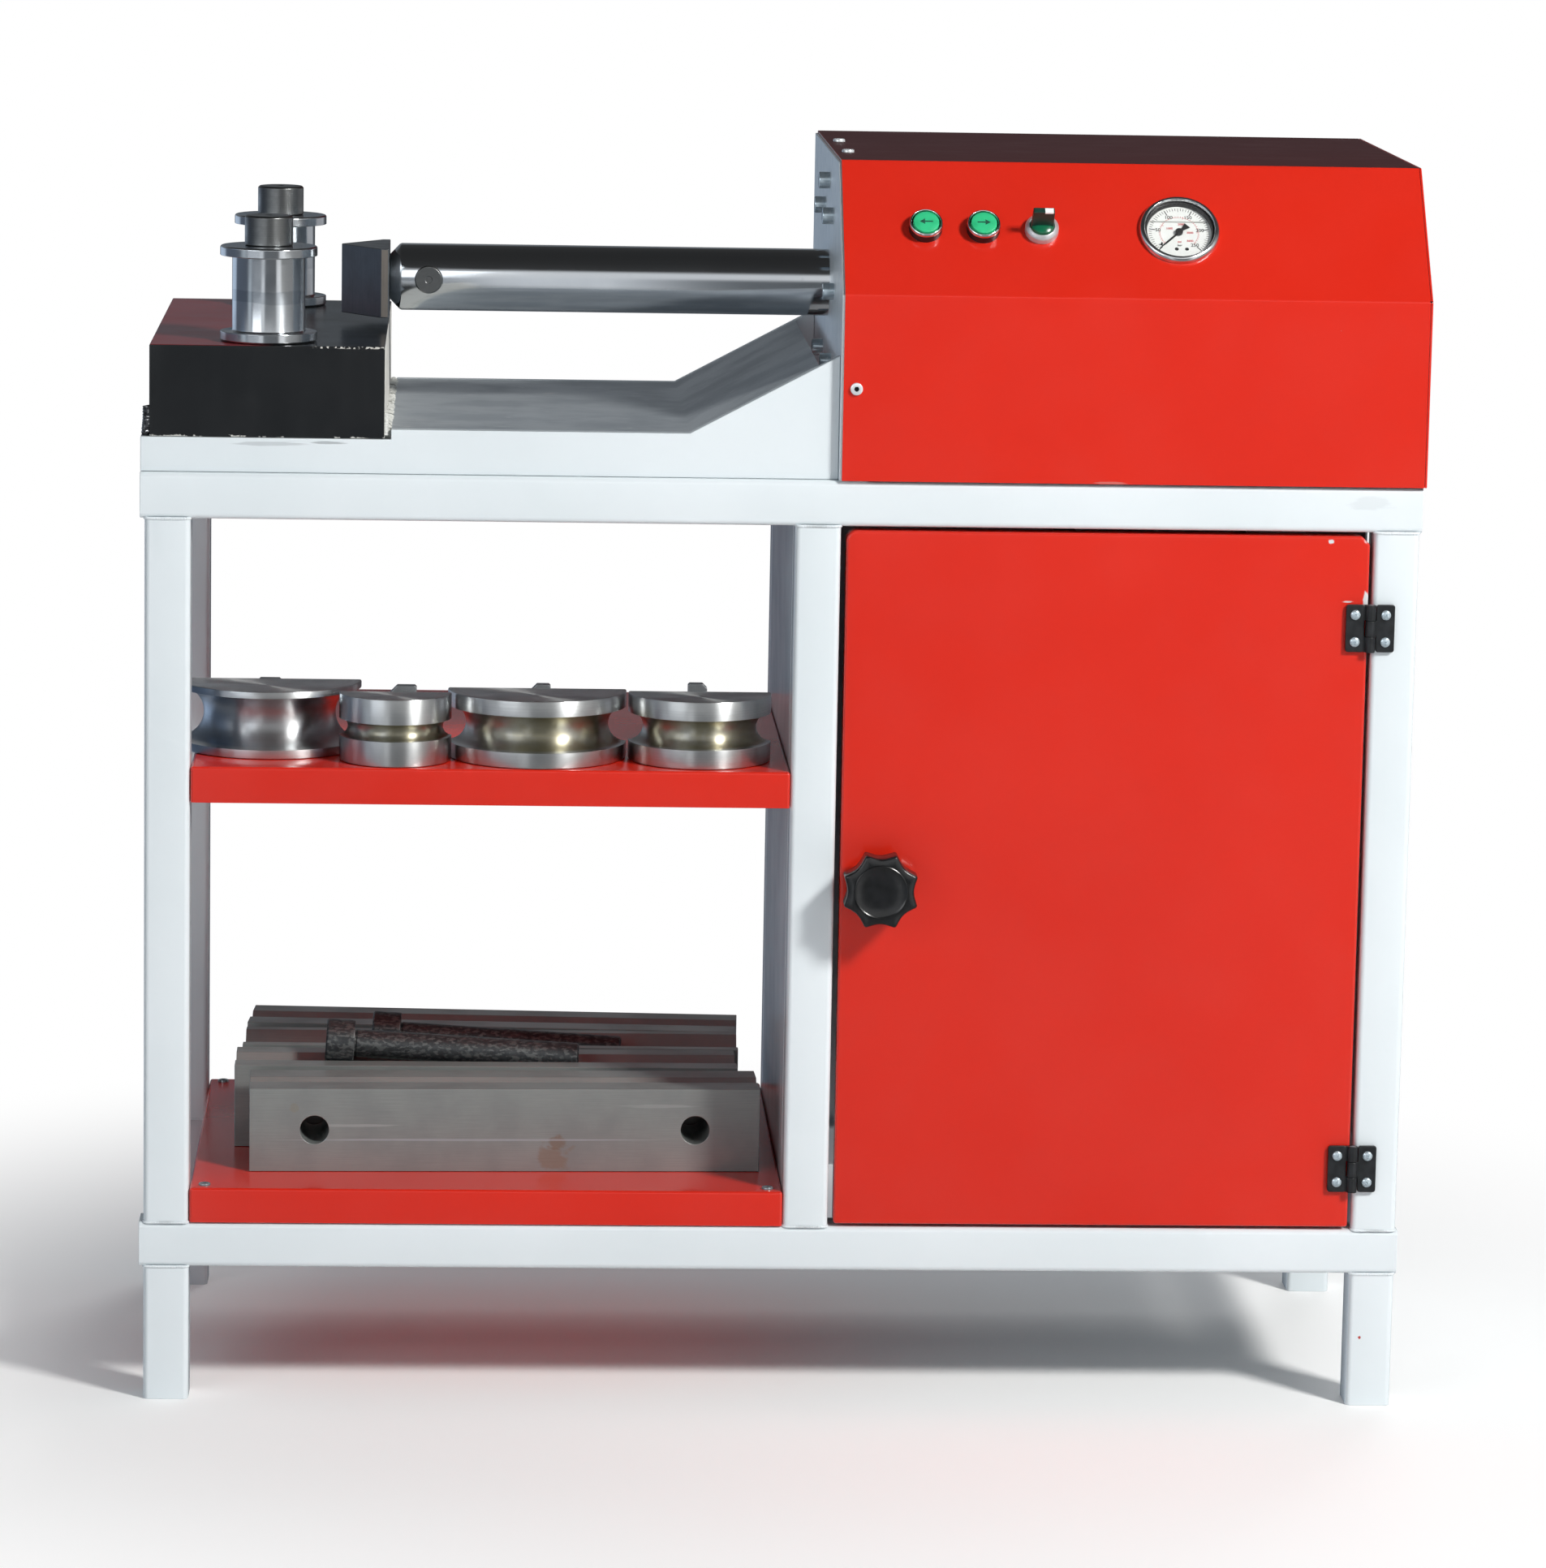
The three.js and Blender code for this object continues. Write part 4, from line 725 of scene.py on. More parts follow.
class Shape:
    """A closed mesh in millimetres, with calls that add bodies to it."""

    def __init__(self) -> None:
        """Starts an empty mesh."""
        self.mesh = bmesh.new()

    def ring(self, outline: list[Point], axis: Axis, depth: float) -> list[Vertex]:
        """Adds the points of an outline at one depth along an axis."""
        return [self.mesh.verts.new(axis.at(u, v, depth)) for u, v in outline]

    def wall(self, low: list[Vertex], high: list[Vertex], loop: bool = True) -> None:
        """Joins two rows of points with faces.

        Args:
            low: First row; a row of one point makes a fan.
            high: Second row.
            loop: Whether the rows close on themselves.
        """
        count = max(len(low), len(high))
        for index in range(count if loop else count - 1):
            after = index + 1
            spots = ((low, index), (low, after), (high, after), (high, index))
            corners = [row[at % len(row)] for row, at in spots]
            self.mesh.faces.new(list(dict.fromkeys(corners)))

    def skin(self, rows: list[list[Vertex]], loop: bool = False) -> "Shape":
        """Joins rows of points in turn.

        Args:
            rows: Rows with as many points each.
            loop: Whether the last row meets the first; the two ends are closed where it doesn't.

        Returns:
            The shape.
        """
        for low, high in zip(rows, rows[1:]):
            self.wall(low, high)
        if loop:
            self.wall(rows[-1], rows[0])
        else:
            self.mesh.faces.new(rows[0][::-1])
            self.mesh.faces.new(rows[-1])
        return self

    def prism(self, points: list[Point], axis: Axis, start: float, end: float,
              hole: list[Point] | None = None) -> "Shape":
        """Adds an outline stretched along an axis.

        Args:
            points: Outline in the two axes across.
            axis: Axis to stretch along.
            start: Where it begins on that axis.
            end: Where it ends.
            hole: Outline of a hole with as many points, open at both ends.

        Returns:
            The shape.
        """
        rows = [self.ring(points, axis, start), self.ring(points, axis, end)]
        if hole is not None:
            rows += [self.ring(hole, axis, end), self.ring(hole, axis, start)]
        return self.skin(rows, hole is not None)

    def lathe(self, profile: list[Point], steps: int = 96, lobes: int = 0, lobe: float = 0,
              middle: Point = (0, 0)) -> "Shape":
        """Adds a profile of radius and height turned about an upright line.

        Args:
            profile: Pairs from the bottom of the axis to its top, or a closed ring's outline.
            steps: Sides of the turned body.
            lobes: Number of finger dents round it, with a tip at angle zero.
            lobe: Depth of the dents, as a share of the radius.
            middle: Place of the line.

        Returns:
            The shape.
        """
        blunt = 0.94
        rows = []
        for radius, height in profile:
            row = []
            for step in range(steps if radius > 0 else 1):
                angle = tau * step / steps
                share = abs((angle * lobes / tau) % 1 - 0.5) * 2
                reach = radius * (1 - lobe * (1 - min(share, blunt) ** 2)) if lobes else radius
                x, y = middle[0] + reach * cos(angle), middle[1] + reach * sin(angle)
                row.append(self.mesh.verts.new((x, y, height)))
            rows.append(row)
        if len(rows[0]) > 1:
            rows.append(rows[0])
        for low, high in zip(rows, rows[1:]):
            if len(low) + len(high) > 2:
                self.wall(low, high)
        return self

    def pipe(self, points: list[Place], radii: list[float] | float, sides: int = 12,
             loop: bool = False) -> "Shape":
        """Adds a round body along a path.

        Args:
            points: Middle line.
            radii: One radius, or one for each point.
            sides: Sides of the section.
            loop: Whether the path closes on itself.

        Returns:
            The shape.
        """
        path = [Vector(point) for point in points]
        sizes = [radii] * len(path) if isinstance(radii, (int, float)) else radii
        count = len(path)
        side = None
        rows = []
        for index, (spot, size) in enumerate(zip(path, sizes)):
            ahead = path[(index + 1) % count] if loop or index < count - 1 else spot
            behind = path[index - 1] if loop or index else spot
            way = (ahead - behind).normalized()
            if side is None:
                side = way.orthogonal().normalized()
            side = (side - way * side.dot(way)).normalized()
            other = way.cross(side)
            rows.append([self.mesh.verts.new(spot + side * u + other * v) for u, v in circle(size, sides)])
        return self.skin(rows, loop)

    def bead(self, points: list[Place], size: float, seed: int, loop: bool = False,
             pitch: float = 2.4) -> "Shape":
        """Adds a weld bead: a pipe with ripples and small wanderings.

        Args:
            points: Corners of the seam.
            size: Radius of the bead.
            seed: Start of the random wander.
            loop: Whether the seam closes on itself.
            pitch: Length of a ripple.

        Returns:
            The shape.
        """
        chance = random.Random(seed)
        corners = [Vector(point) for point in points]
        ends = corners[1:] + ([corners[0]] if loop else [])
        path, sizes = [], []
        for start, end in zip(corners, ends):
            steps = max(2, round((end - start).length / (pitch / 3)))
            for step in range(steps):
                spot = start.lerp(end, step / steps)
                wander = Vector([chance.uniform(-1, 1) for _ in range(3)]) * size * 0.07
                ripple = 0.5 - 0.5 * cos(tau * (len(path) % 3) / 3)
                path.append(spot + wander)
                sizes.append(size * (0.9 + 0.16 * ripple + chance.uniform(-0.04, 0.04)))
        if not loop:
            path.append(corners[-1])
            sizes.append(size * 0.6)
            sizes[0] = size * 0.6
        return self.pipe(path, sizes, 8, loop)

    def turned(self, matrix: Matrix) -> "Shape":
        """Moves everything made so far by a matrix in millimetres."""
        bmesh.ops.transform(self.mesh, matrix=matrix, verts=self.mesh.verts)
        return self

    def data(self, name: str) -> bpy.types.Mesh:
        """Writes the mesh out in metres, with smooth faces and sharp edges.

        Args:
            name: Name of the mesh.

        Returns:
            The mesh.
        """
        bmesh.ops.recalc_face_normals(self.mesh, faces=self.mesh.faces)
        bmesh.ops.scale(self.mesh, vec=(MM, MM, MM), verts=self.mesh.verts)
        mesh = bpy.data.meshes.new(name)
        self.mesh.to_mesh(mesh)
        self.mesh.free()
        mesh.shade_smooth()
        mesh.set_sharp_from_angle(angle=SHARP)
        return mesh


def pose(at: Place, turn: Matrix | None) -> Matrix:
    """Returns the matrix that sets a shape at a place on the press, turned or not."""
    return Matrix.Translation(place(*at)) @ (turn.to_4x4() if turn else Matrix.Identity(4))


def publish(shape: Shape, name: str, finish: Finish, body: str = "press", at: Place = (0, 0, 0),
            turn: Matrix | None = None, bevel: float = 0, node: str = "") -> bpy.types.Object:
    """Makes a piece from a shape, dresses it and says what it rides on.

    Args:
        shape: Mesh in millimetres.
        name: Name of the piece.
        finish: Finish of its surface.
        body: Body it moves with.
        at: Place of the shape's own origin.
        turn: Rotation of the shape.
        bevel: Width of the rounding on every sharp edge.
        node: Node that it stands for.

    Returns:
        The piece.
    """
    obj = added(name, shape.data(name))
    obj.matrix_world = pose(at, turn)
    obj.data.materials.append(material(finish))
    if bevel:
        edge = obj.modifiers.new("edge", "BEVEL")
        edge.width = bevel * MM
        edge.segments = 3
        edge.limit_method = "ANGLE"
        edge.angle_limit = SHARP
        edge.harden_normals = True
    settle(obj, body, node)
    return obj


def settle(obj: bpy.types.Object, body: str, node: str = "") -> None:
    """Hangs a piece on its body's empty and hides the node it stands for.

    Args:
        obj: The piece.
        body: Body it rides on.
        node: Node that it stands for.
    """
    bpy.context.view_layer.update()
    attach(obj, body)
    if node:
        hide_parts(node)
    LOG.info("%s rides on %s", obj.name, body)


def carve(obj: bpy.types.Object, cutter: Shape, turn: Matrix | None = None, at: Place = (0, 0, 0)) -> None:
    """Cuts a shape out of a piece before its edges are rounded.

    Args:
        obj: Piece to cut.
        cutter: Shape to take away, in millimetres.
        turn: Rotation of the cutter.
        at: Place of the cutter.
    """
    tool = added("cutter", cutter.data("cutter"))
    tool.matrix_world = pose(at, turn)
    cut = obj.modifiers.new("cut", "BOOLEAN")
    cut.operation = "DIFFERENCE"
    cut.solver = "EXACT"
    cut.object = tool
    edges = [m for m in obj.modifiers if m.type == "BEVEL"]
    for edge in edges:
        edge.show_viewport = False
    bpy.context.view_layer.update()
    whole = obj.evaluated_get(bpy.context.evaluated_depsgraph_get())
    mesh = bpy.data.meshes.new_from_object(whole)
    obj.modifiers.remove(cut)
    for edge in edges:
        edge.show_viewport = True
    old, obj.data = obj.data, mesh
    mesh.set_sharp_from_angle(angle=SHARP)
    bpy.data.meshes.remove(old)
    bpy.data.objects.remove(tool)


def turned_to(axis: Axis, flip: bool = False) -> Matrix:
    """Returns the rotation that takes a turned shape's own Z to an axis.

    Args:
        axis: Axis that the shape's Z points along.
        flip: Whether it points the other way.

    Returns:
        The rotation.
    """
    sign = -1 if flip else 1
    if axis is Axis.X:
        return Matrix.Rotation(sign * pi / 2, 3, "Y")
    if axis is Axis.Y:
        return Matrix.Rotation(-sign * pi / 2, 3, "X")
    return Matrix.Rotation(pi if flip else 0, 3, "X")


def socket_screw(radius: float, height: float, socket: float, dome: float = 0) -> Shape:
    """Returns a screw head with a six-sided socket, its seat at height zero and facing up.

    Args:
        radius: Radius of the head.
        height: Height of the head.
        socket: Radius of the socket across its corners.
        dome: How much the rim is rounded down.

    Returns:
        The shape.
    """
    shape = Shape()
    rim = min(radius * 0.12, 1) + dome
    side, steps = pi / 3, 48
    hexagon = []
    for x, y in circle(socket * cos(side / 2), steps):
        off = atan2(y, x) % side - side / 2
        hexagon.append((x / cos(off), y / cos(off)))
    outside = ((radius, 0), (radius, height - rim), (radius - rim * 0.3, height - rim * 0.3),
               (radius - rim, height))
    levels = [(circle(size, steps), level) for size, level in outside]
    levels += [(hexagon, height), (hexagon, height * 0.35)]
    return shape.skin([shape.ring(outline, Axis.Z, level) for outline, level in levels])


def domed_screw(radius: float, height: float) -> Shape:
    """Returns a round screw head with a small flat crown and a recess.

    Args:
        radius: Radius of the head.
        height: Its height over its seat, which lies at height zero.

    Returns:
        The shape.
    """
    arc = [pi / 2 * step / 8 for step in range(7)]
    rim = height * 0.25
    dome = [(radius * cos(a), rim + (height - rim) * sin(a)) for a in arc]
    return Shape().lathe(
        [(0, 0), (radius, 0), *dome, (radius * 0.22, height), (radius * 0.15, height - 0.4),
         (0, height - 0.5)], 48)


@dataclass
class Stand:
    """Square tube stand with its feet, rails, posts and welds."""

    width: float = 1114
    depth: float = 456
    height: float = 828
    foot: float = 121
    tube: float = 40
    wall: float = 3
    corner: float = 5
    post_left: float = 566
    over_left: float = 4
    over_right: float = 2

    def __post_init__(self) -> None:
        """Works out the tubes' places."""
        self.base, self.ring = self.foot + self.tube, self.height - self.tube
        self.right, self.rear = self.width - self.tube, self.depth - self.tube

    def section(self, u: float, v: float, inset: float = 0) -> list[Point]:
        """Returns a tube's outline with its low corner at a point."""
        low, high = inset, self.tube - inset
        return rounded(oblong(u + low, u + high, v + low, v + high), self.corner - inset, 5)

    def build(self) -> None:
        """Makes the tubes, the rails and feet with closed ends, and the welds between them."""
        left, right = -self.over_left, self.width + self.over_right
        sides, ends = (("front", 0), ("rear", self.rear)), (("left", 0), ("right", self.right))
        levels = (("bottom", self.foot), ("top", self.ring))
        tubes = []
        for side, y in sides:
            tubes += [(f"rail_{level}_{side}", f"{level}_rail_{side}", Axis.X, y, z, left, right, 0.7)
                      for level, z in levels]
            for end, x in ends:
                tubes += [(f"foot_{side}_{end}", "", Axis.Z, x, y, 0, self.foot, 0.7),
                          (f"post_{side}_{end}", f"upright_{side}_{end}", Axis.Z, x, y, self.base,
                           self.ring, 0)]
            tubes.append((f"post_{side}_middle", f"middle_post_{side}", Axis.Z, self.post_left, y,
                          self.base, self.ring, 0))
        for end, x in ends:
            tubes += [(f"cross_{level}_{end}", f"{level}_cross_{end}", Axis.Y, x, z, self.tube, self.rear, 0)
                      for level, z in levels]
        for name, node, axis, u, v, start, end, bevel in tubes:
            hole = None if bevel else self.section(u, v, self.wall)
            tube = Shape().prism(self.section(u, v), axis, start, end, hole)
            publish(tube, name, WHITE, bevel=bevel, node=node)
        self.weld()

    def weld(self) -> None:
        """Makes the bead round each joint."""
        joints = []
        for y in (0, self.rear):
            for x in (0, self.post_left, self.right):
                levels = (self.foot, self.base, self.ring)[x == self.post_left:]
                joints += [(Axis.Z, x, y, z, 1.3) for z in levels]
        for x in (0, self.right):
            for z in (self.foot, self.ring):
                joints += [(Axis.Y, x, z, y, 1.5) for y in (self.tube, self.rear)]
        seams = Shape()
        for seed, (axis, u, v, depth, size) in enumerate(joints, 11):
            loop = rounded(oblong(u, u + self.tube, v, v + self.tube), self.corner, 3)
            seams.bead([axis.at(*point, depth) for point in loop], size, seed, True)
        publish(seams, "stand_welds", WHITE)


@dataclass
class Bed:
    """Bed plates, the bolster block on them and their welds."""

    left: float = -4
    right: float = 602.7
    bottom: float = 828.3
    block_seat: float = 858.4
    top: float = 867
    ramp_top: float = 936.5
    step_x: float = 213
    ramp_x: float = 473
    ramp_end: float = 585
    plate: float = 12
    front: float = 8
    rear: float = 448
    gap: float = 0.3
    block: tuple[Place, Place] = ((3.5, 10, 858.7), (207.5, 446, 938.5))

    def build(self) -> None:
        """Makes the plates, the block and the welds."""
        left, top, seat, thick = self.left, self.top, self.block_seat, self.plate
        side = [
            (left, self.bottom), (self.right, self.bottom), (self.right, self.ramp_top), (self.ramp_x, top),
            (self.step_x, top), (self.step_x, seat), (left, seat)]
        for name, y in (("front", self.front), ("rear", self.rear - thick)):
            shape = Shape().prism(side, Axis.Y, y, y + thick)
            publish(shape, f"side_plate_{name}", WHITE, bevel=0.8, node=f"bed_side_{name}")
        slope = (self.ramp_top - top) / (self.right - self.ramp_x)
        end = top + slope * (self.ramp_end - self.ramp_x)
        profile = [
            (left, seat - thick), (self.step_x + thick, seat - thick), (self.step_x + thick, top - thick),
            (self.ramp_x, top - thick), (self.ramp_end, end - thick), (self.ramp_end, end),
            (self.ramp_x, top), (self.step_x, top), (self.step_x, seat), (left, seat)]
        deck = Shape().prism(profile, Axis.Y, self.front + thick + self.gap, self.rear - thick - self.gap)
        publish(deck, "deck_plate", PLATE_STEEL, bevel=0.4, node="bed_top_plate")
        low, high = self.block
        size = [b - a for a, b in zip(low, high)]
        block = Shape().prism(oblong(0, size[0], 0, size[1]), Axis.Z, 0, size[2])
        publish(block, "bolster", BLOCK, at=low, bevel=1.1, node="bolster_block")
        self.weld()

    def weld(self) -> None:
        """Makes the beads round the block's foot."""
        (_, front, seat), (right, rear, _) = self.block
        foot, corner = seat + 2.5, front + 3
        beads = Shape().bead([(right + 1.4, front + 10, foot), (right + 1.4, rear - 10, foot)], 7.6, 71)
        beads.bead([(right + 0.8, corner, foot), (right + 0.5, corner, foot + 20)], 2.6, 72)
        publish(beads, "block_weld_right", WELD)
        beads = Shape().bead([(0.3, front + 4, foot), (0.3, rear - 4, foot)], 3.8, 73)
        beads.bead([(0.6, corner, foot), (1.6, corner, foot + 24)], 3.7, 74)
        publish(beads, "block_weld_left", DARK_WELD)


@dataclass
class Rollers:
    """The two free counter-rollers and their headed pins."""

    x: float = 105
    places: tuple[tuple[str, float], ...] = (("front", 55.5), ("rear", 400.5))
    bottom: float = 938.8
    flange_radius: float = 42.3
    body_radius: float = 31.8
    flange: float = 8.6
    height: float = 83
    bore: float = 13.1
    pin_radius: float = 12.7
    head_radius: float = 21
    head_height: float = 26
    pin_depth: float = 70
    gap: float = 0.3

    def build(self) -> None:
        """Makes both rollers and pins."""
        shank = self.height + 2 * self.gap + self.pin_depth
        for side, y in self.places:
            spot, seat = (self.x, y, self.bottom), (self.x, y, self.bottom + self.height + self.gap)
            publish(Shape().lathe(self.spool(), 128), f"spool_{side}", TURNED, f"{side}_roller", spot,
                    bevel=0.7, node=f"roller_{side}")
            publish(headed_pin(self.pin_radius, self.head_radius, self.head_height, shank), f"axle_{side}",
                    PIN_STEEL, at=seat, bevel=0.5, node=f"roller_pin_{side}")

    def spool(self) -> list[Point]:
        """Returns the roller's closed profile, with a small fillet where the flanges meet the body."""
        wide, slim, top = self.flange_radius, self.body_radius, self.height
        edge, fillet = 1.2, 1.6
        low = [(self.bore, 0), (wide - edge, 0), (wide, edge), (wide, self.flange)]
        low += [(slim + fillet - fillet * sin(a), self.flange + fillet - fillet * cos(a))
                for a in (0, 0.5, 1.05, pi / 2)]
        return low + [(radius, top - height) for radius, height in reversed(low)]


def headed_pin(radius: float, head: float, head_height: float, shank: float) -> Shape:
    """Returns a headed pin standing on its shank, the head's underside at height zero.

    Args:
        radius: Radius of the shank.
        head: Radius of the head.
        head_height: Height of the head.
        shank: Length of the shank.

    Returns:
        The shape.
    """
    chamfer, neck, rim, top = 1.6, radius - 0.7, head - 0.6, head_height
    return Shape().lathe(
        [(0, -shank), (radius - chamfer, -shank), (radius, chamfer - shank), (radius, -2), (neck, -1.4),
         (neck, 0), (rim, 0), (head, 0.6), (head, top - chamfer), (head - chamfer, top), (3, top),
         (2.2, top - 1.2), (0, top - 1.8)])


@dataclass
class Ram:
    """Ram with its V punch and cross pin."""

    tip: float = 208.3
    radius: float = 30
    chamfer: float = 10
    piston_left: float = 723.3
    piston: float = 50
    piston_radius: float = 49.6
    pin_x: float = 243.3
    pin_radius: float = 12.5
    pin_reach: float = 32
    punch_front: float = 165
    punch_back: float = 208
    punch_plate: float = 7
    punch_half: float = 53
    punch_nose: float = 2
    punch_low: float = 948.25
    punch_high: float = 1009.75

    def build(self) -> None:
        """Makes the ram, punch and pin."""
        rod, bulge, chamfer = self.radius, self.piston_radius, self.chamfer
        end = self.piston_left - self.tip
        stop = end + self.piston
        profile = [(0, 0), (rod - chamfer, 0), (rod - 0.8, chamfer - 1.2), (rod, chamfer + 0.6), (rod, end),
                   (bulge, end), (bulge, stop), (0, stop)]
        publish(Shape().lathe(profile, 128), "ram_rod", POLISHED, "ram", (self.tip, *RAM_AXIS),
                turned_to(Axis.X), 0.5, "ram")
        back, front = self.punch_back, self.punch_front
        flank = back - self.punch_plate
        middle, half, nose = RAM_AXIS[0], self.punch_half, self.punch_nose
        low, high = middle - half, middle + half
        wedge = [(back, low), (back, high), (flank, high), (front, middle + nose), (front, middle - nose),
                 (flank, low)]
        body = Shape().prism(wedge, Axis.Z, self.punch_low, self.punch_high)
        publish(body, "v_punch", DARK_STEEL, "ram", bevel=0.7, node="punch")
        strip = oblong(flank + 0.4, back - 0.9, low - 0.15, low + 1)
        edge = Shape().prism(strip, Axis.Z, self.punch_low + 0.9, self.punch_high - 0.9)
        publish(edge, "punch_bare_edge", EDGE_STEEL, "ram")
        pin, reach = self.pin_radius, self.pin_reach
        upper = [(pin, reach - 1), (pin - 1, reach), (3.4, reach), (3, reach - 0.5), (0, reach - 0.5)]
        lower = [(radius, -height) for radius, height in reversed(upper)]
        publish(Shape().lathe(lower + upper, 64), "cross_pin", PIN_STEEL, "ram", (self.pin_x, *RAM_AXIS),
                turned_to(Axis.Y), 0.2, "ram_pin")


@dataclass
class Cover:
    """Cylinder plate, red cover and their screws."""

    left: float = 605.2
    right: float = 1118.2
    front: float = -3.2
    rear: float = 486
    bottom: float = 828.3
    top: float = 1101
    bend: float = 991
    run: float = 97.2
    sheet: float = 2
    fold: float = 3.2
    plate_left: float = 603
    plate_right: float = 628
    plate_inset: float = 2.3
    bolt_circle: float = 92
    bolts: int = 8
    screw_x: float = 616.6
    gauge_x: float = 899.6
    gauge_hole: float = 32

    def __post_init__(self) -> None:
        """Works out the control panel's slope, its rotation and its length."""
        self.slant = atan2(self.top - self.bend, self.run)
        self.tilt = Matrix.Rotation(self.slant, 3, "X")
        self.panel = hypot(self.run, self.top - self.bend)

    def outline(self, inset: float, radius: float) -> list[Point]:
        """Returns the cover's cross-section moved inwards.

        Args:
            inset: How far it moves.
            radius: Rounding of its three upper folds.

        Returns:
            The outline, from its front foot to its rear foot and back over the top.
        """
        sine, cosine = sin(self.slant), cos(self.slant)
        front, rear, top = self.front + inset, self.rear - inset, self.top - inset
        ridge = self.front + (inset + (top - self.bend) * cosine) / sine
        corners = [(front, self.bottom), (rear, self.bottom), (rear, top), (ridge, top),
                   (front, self.bend + inset * (sine - 1) / cosine)]
        return rounded(corners, [0, 0, radius, radius, radius])

    def build(self) -> None:
        """Makes the plate, its bolts, the cover and its screws."""
        plate = Shape().prism(self.outline(self.plate_inset, 1), Axis.X, self.plate_left, self.plate_right)
        publish(plate, "flange_plate", CUT_STEEL, bevel=0.8, node="cylinder_plate")
        spots = circle(self.bolt_circle, self.bolts, RAM_AXIS)
        for number, (y, z) in enumerate(spots, 1):
            publish(socket_screw(7.5, 10, 4.2), f"flange_bolt_{number}", BOLT, at=(self.plate_left, y, z),
                    turn=turned_to(Axis.X, True))
        outer, inner = self.outline(0, self.fold), self.outline(self.sheet, self.fold - self.sheet)
        section = [*outer[1:], outer[0], inner[0], *inner[:0:-1]]
        seam = self.right - self.sheet
        shell = Shape().prism(section, Axis.X, self.left, seam - 0.2)
        guard = publish(shell, "cover_sheet", RED_COVER, bevel=0.5, node="cover_shell")
        bore = Shape().lathe(oblong(0, self.gauge_hole, -12, 12))
        carve(guard, bore, self.tilt, self.panel_point(self.gauge_x, 0))
        end = Shape().prism(self.outline(0, 3), Axis.X, seam, self.right)
        publish(end, "cover_end", RED_COVER, bevel=0.8)
        front, back = turned_to(Axis.Y, True), turned_to(Axis.Y)
        spots = (("front", self.front, 909, front), ("rear", self.rear, 909, back),
                 ("top_1", 190, self.top, None), ("top_2", 331, self.top, None))
        for name, y, z, turn in spots:
            publish(socket_screw(5.5, 2.6, 2.4, 0.4), f"cover_screw_{name}", SCREW, at=(self.screw_x, y, z),
                    turn=turn)

    def panel_point(self, x: float, up: float, out: float = 0) -> Place:
        """Returns a place on the slanted panel.

        Args:
            x: Place along the cover.
            up: Distance up the slope from the panel's middle line.
            out: Height above the panel.

        Returns:
            The place on the press.
        """
        sine, cosine = sin(self.slant), cos(self.slant)
        rise = self.panel / 2 + up
        return x, self.front + rise * cosine - out * sine, self.bend + rise * sine + out * cosine


@dataclass
class PanelPart:
    """Something set into the cover's slanted panel, drawn with the panel's face at height zero."""

    cover: Cover
    x: float
    up: float

    def put(self, shape: Shape, name: str, finish: Finish, body: str = "press", bevel: float = 0,
            node: str = "", spin: float = 0) -> None:
        """Sets a piece on the panel.

        Args:
            shape: Its shape.
            name: Name of the piece.
            finish: Its finish.
            body: Body it moves with.
            bevel: Rounding of its edges.
            node: Node it stands for.
            spin: Turn about its own axis, in degrees.
        """
        turn = self.cover.tilt @ Matrix.Rotation(radians(spin), 3, "Z")
        publish(shape, name, finish, body, self.cover.panel_point(self.x, self.up), turn, bevel, node)


@dataclass
class Button(PanelPart):
    """One push button with its ring and the arrow on its cap."""

    side: str
    arrow_turn: float

    def build(self) -> None:
        """Makes the button."""
        side, body = self.side, f"{self.side}_button"
        collar = [(12.6, 7.4), (14.6, 7.4), (14.75, 8.6), (14.5, 9.8), (13.9, 10.6), (13.3, 10.9),
                  (12.8, 10.6), (12.6, 10)]
        self.put(Shape().lathe(collar), f"ring_{side}", BRIGHT, bevel=0.15, node=f"bezel_{side}")
        # The bezel's lower wall is a dark piece: painted shade and dark reflection.
        self.put(Shape().lathe(oblong(12.6, 14.6, 0, 7.3)), f"skirt_{side}", SHADED_SKIRT, bevel=0.3)
        shank = [(8, -34), (11, -34), (11, -0.2), (14.5, -0.2), (14.5, 1.2), (8, 1.2)]
        self.put(Shape().lathe(shank, 48), f"shank_{side}", SATIN, bevel=0.2)
        cap = [(0, 5.6), (11.4, 5.6), (11.4, 10.2), (10.9, 11), (9.4, 11.4), (5, 11.5), (0, 11.5)]
        self.put(Shape().lathe(cap), f"cap_{side}", MINT, body, 0.2, f"button_{side}")
        arrow = [(5.8, 0), (1, 3), (1.3, 0.75), (-5.8, 0.65), (-5.8, -0.65), (1.3, -0.75), (1, -3)]
        self.put(Shape().prism(rounded(arrow, 0.2, 3), Axis.Z, 11.45, 11.6), f"arrow_{side}", ARROW_GREEN,
                 body, spin=self.arrow_turn)
        self.put(Shape().lathe(oblong(0, 12, 1.2, 1.8), 48), f"well_{side}", INK_BLACK)


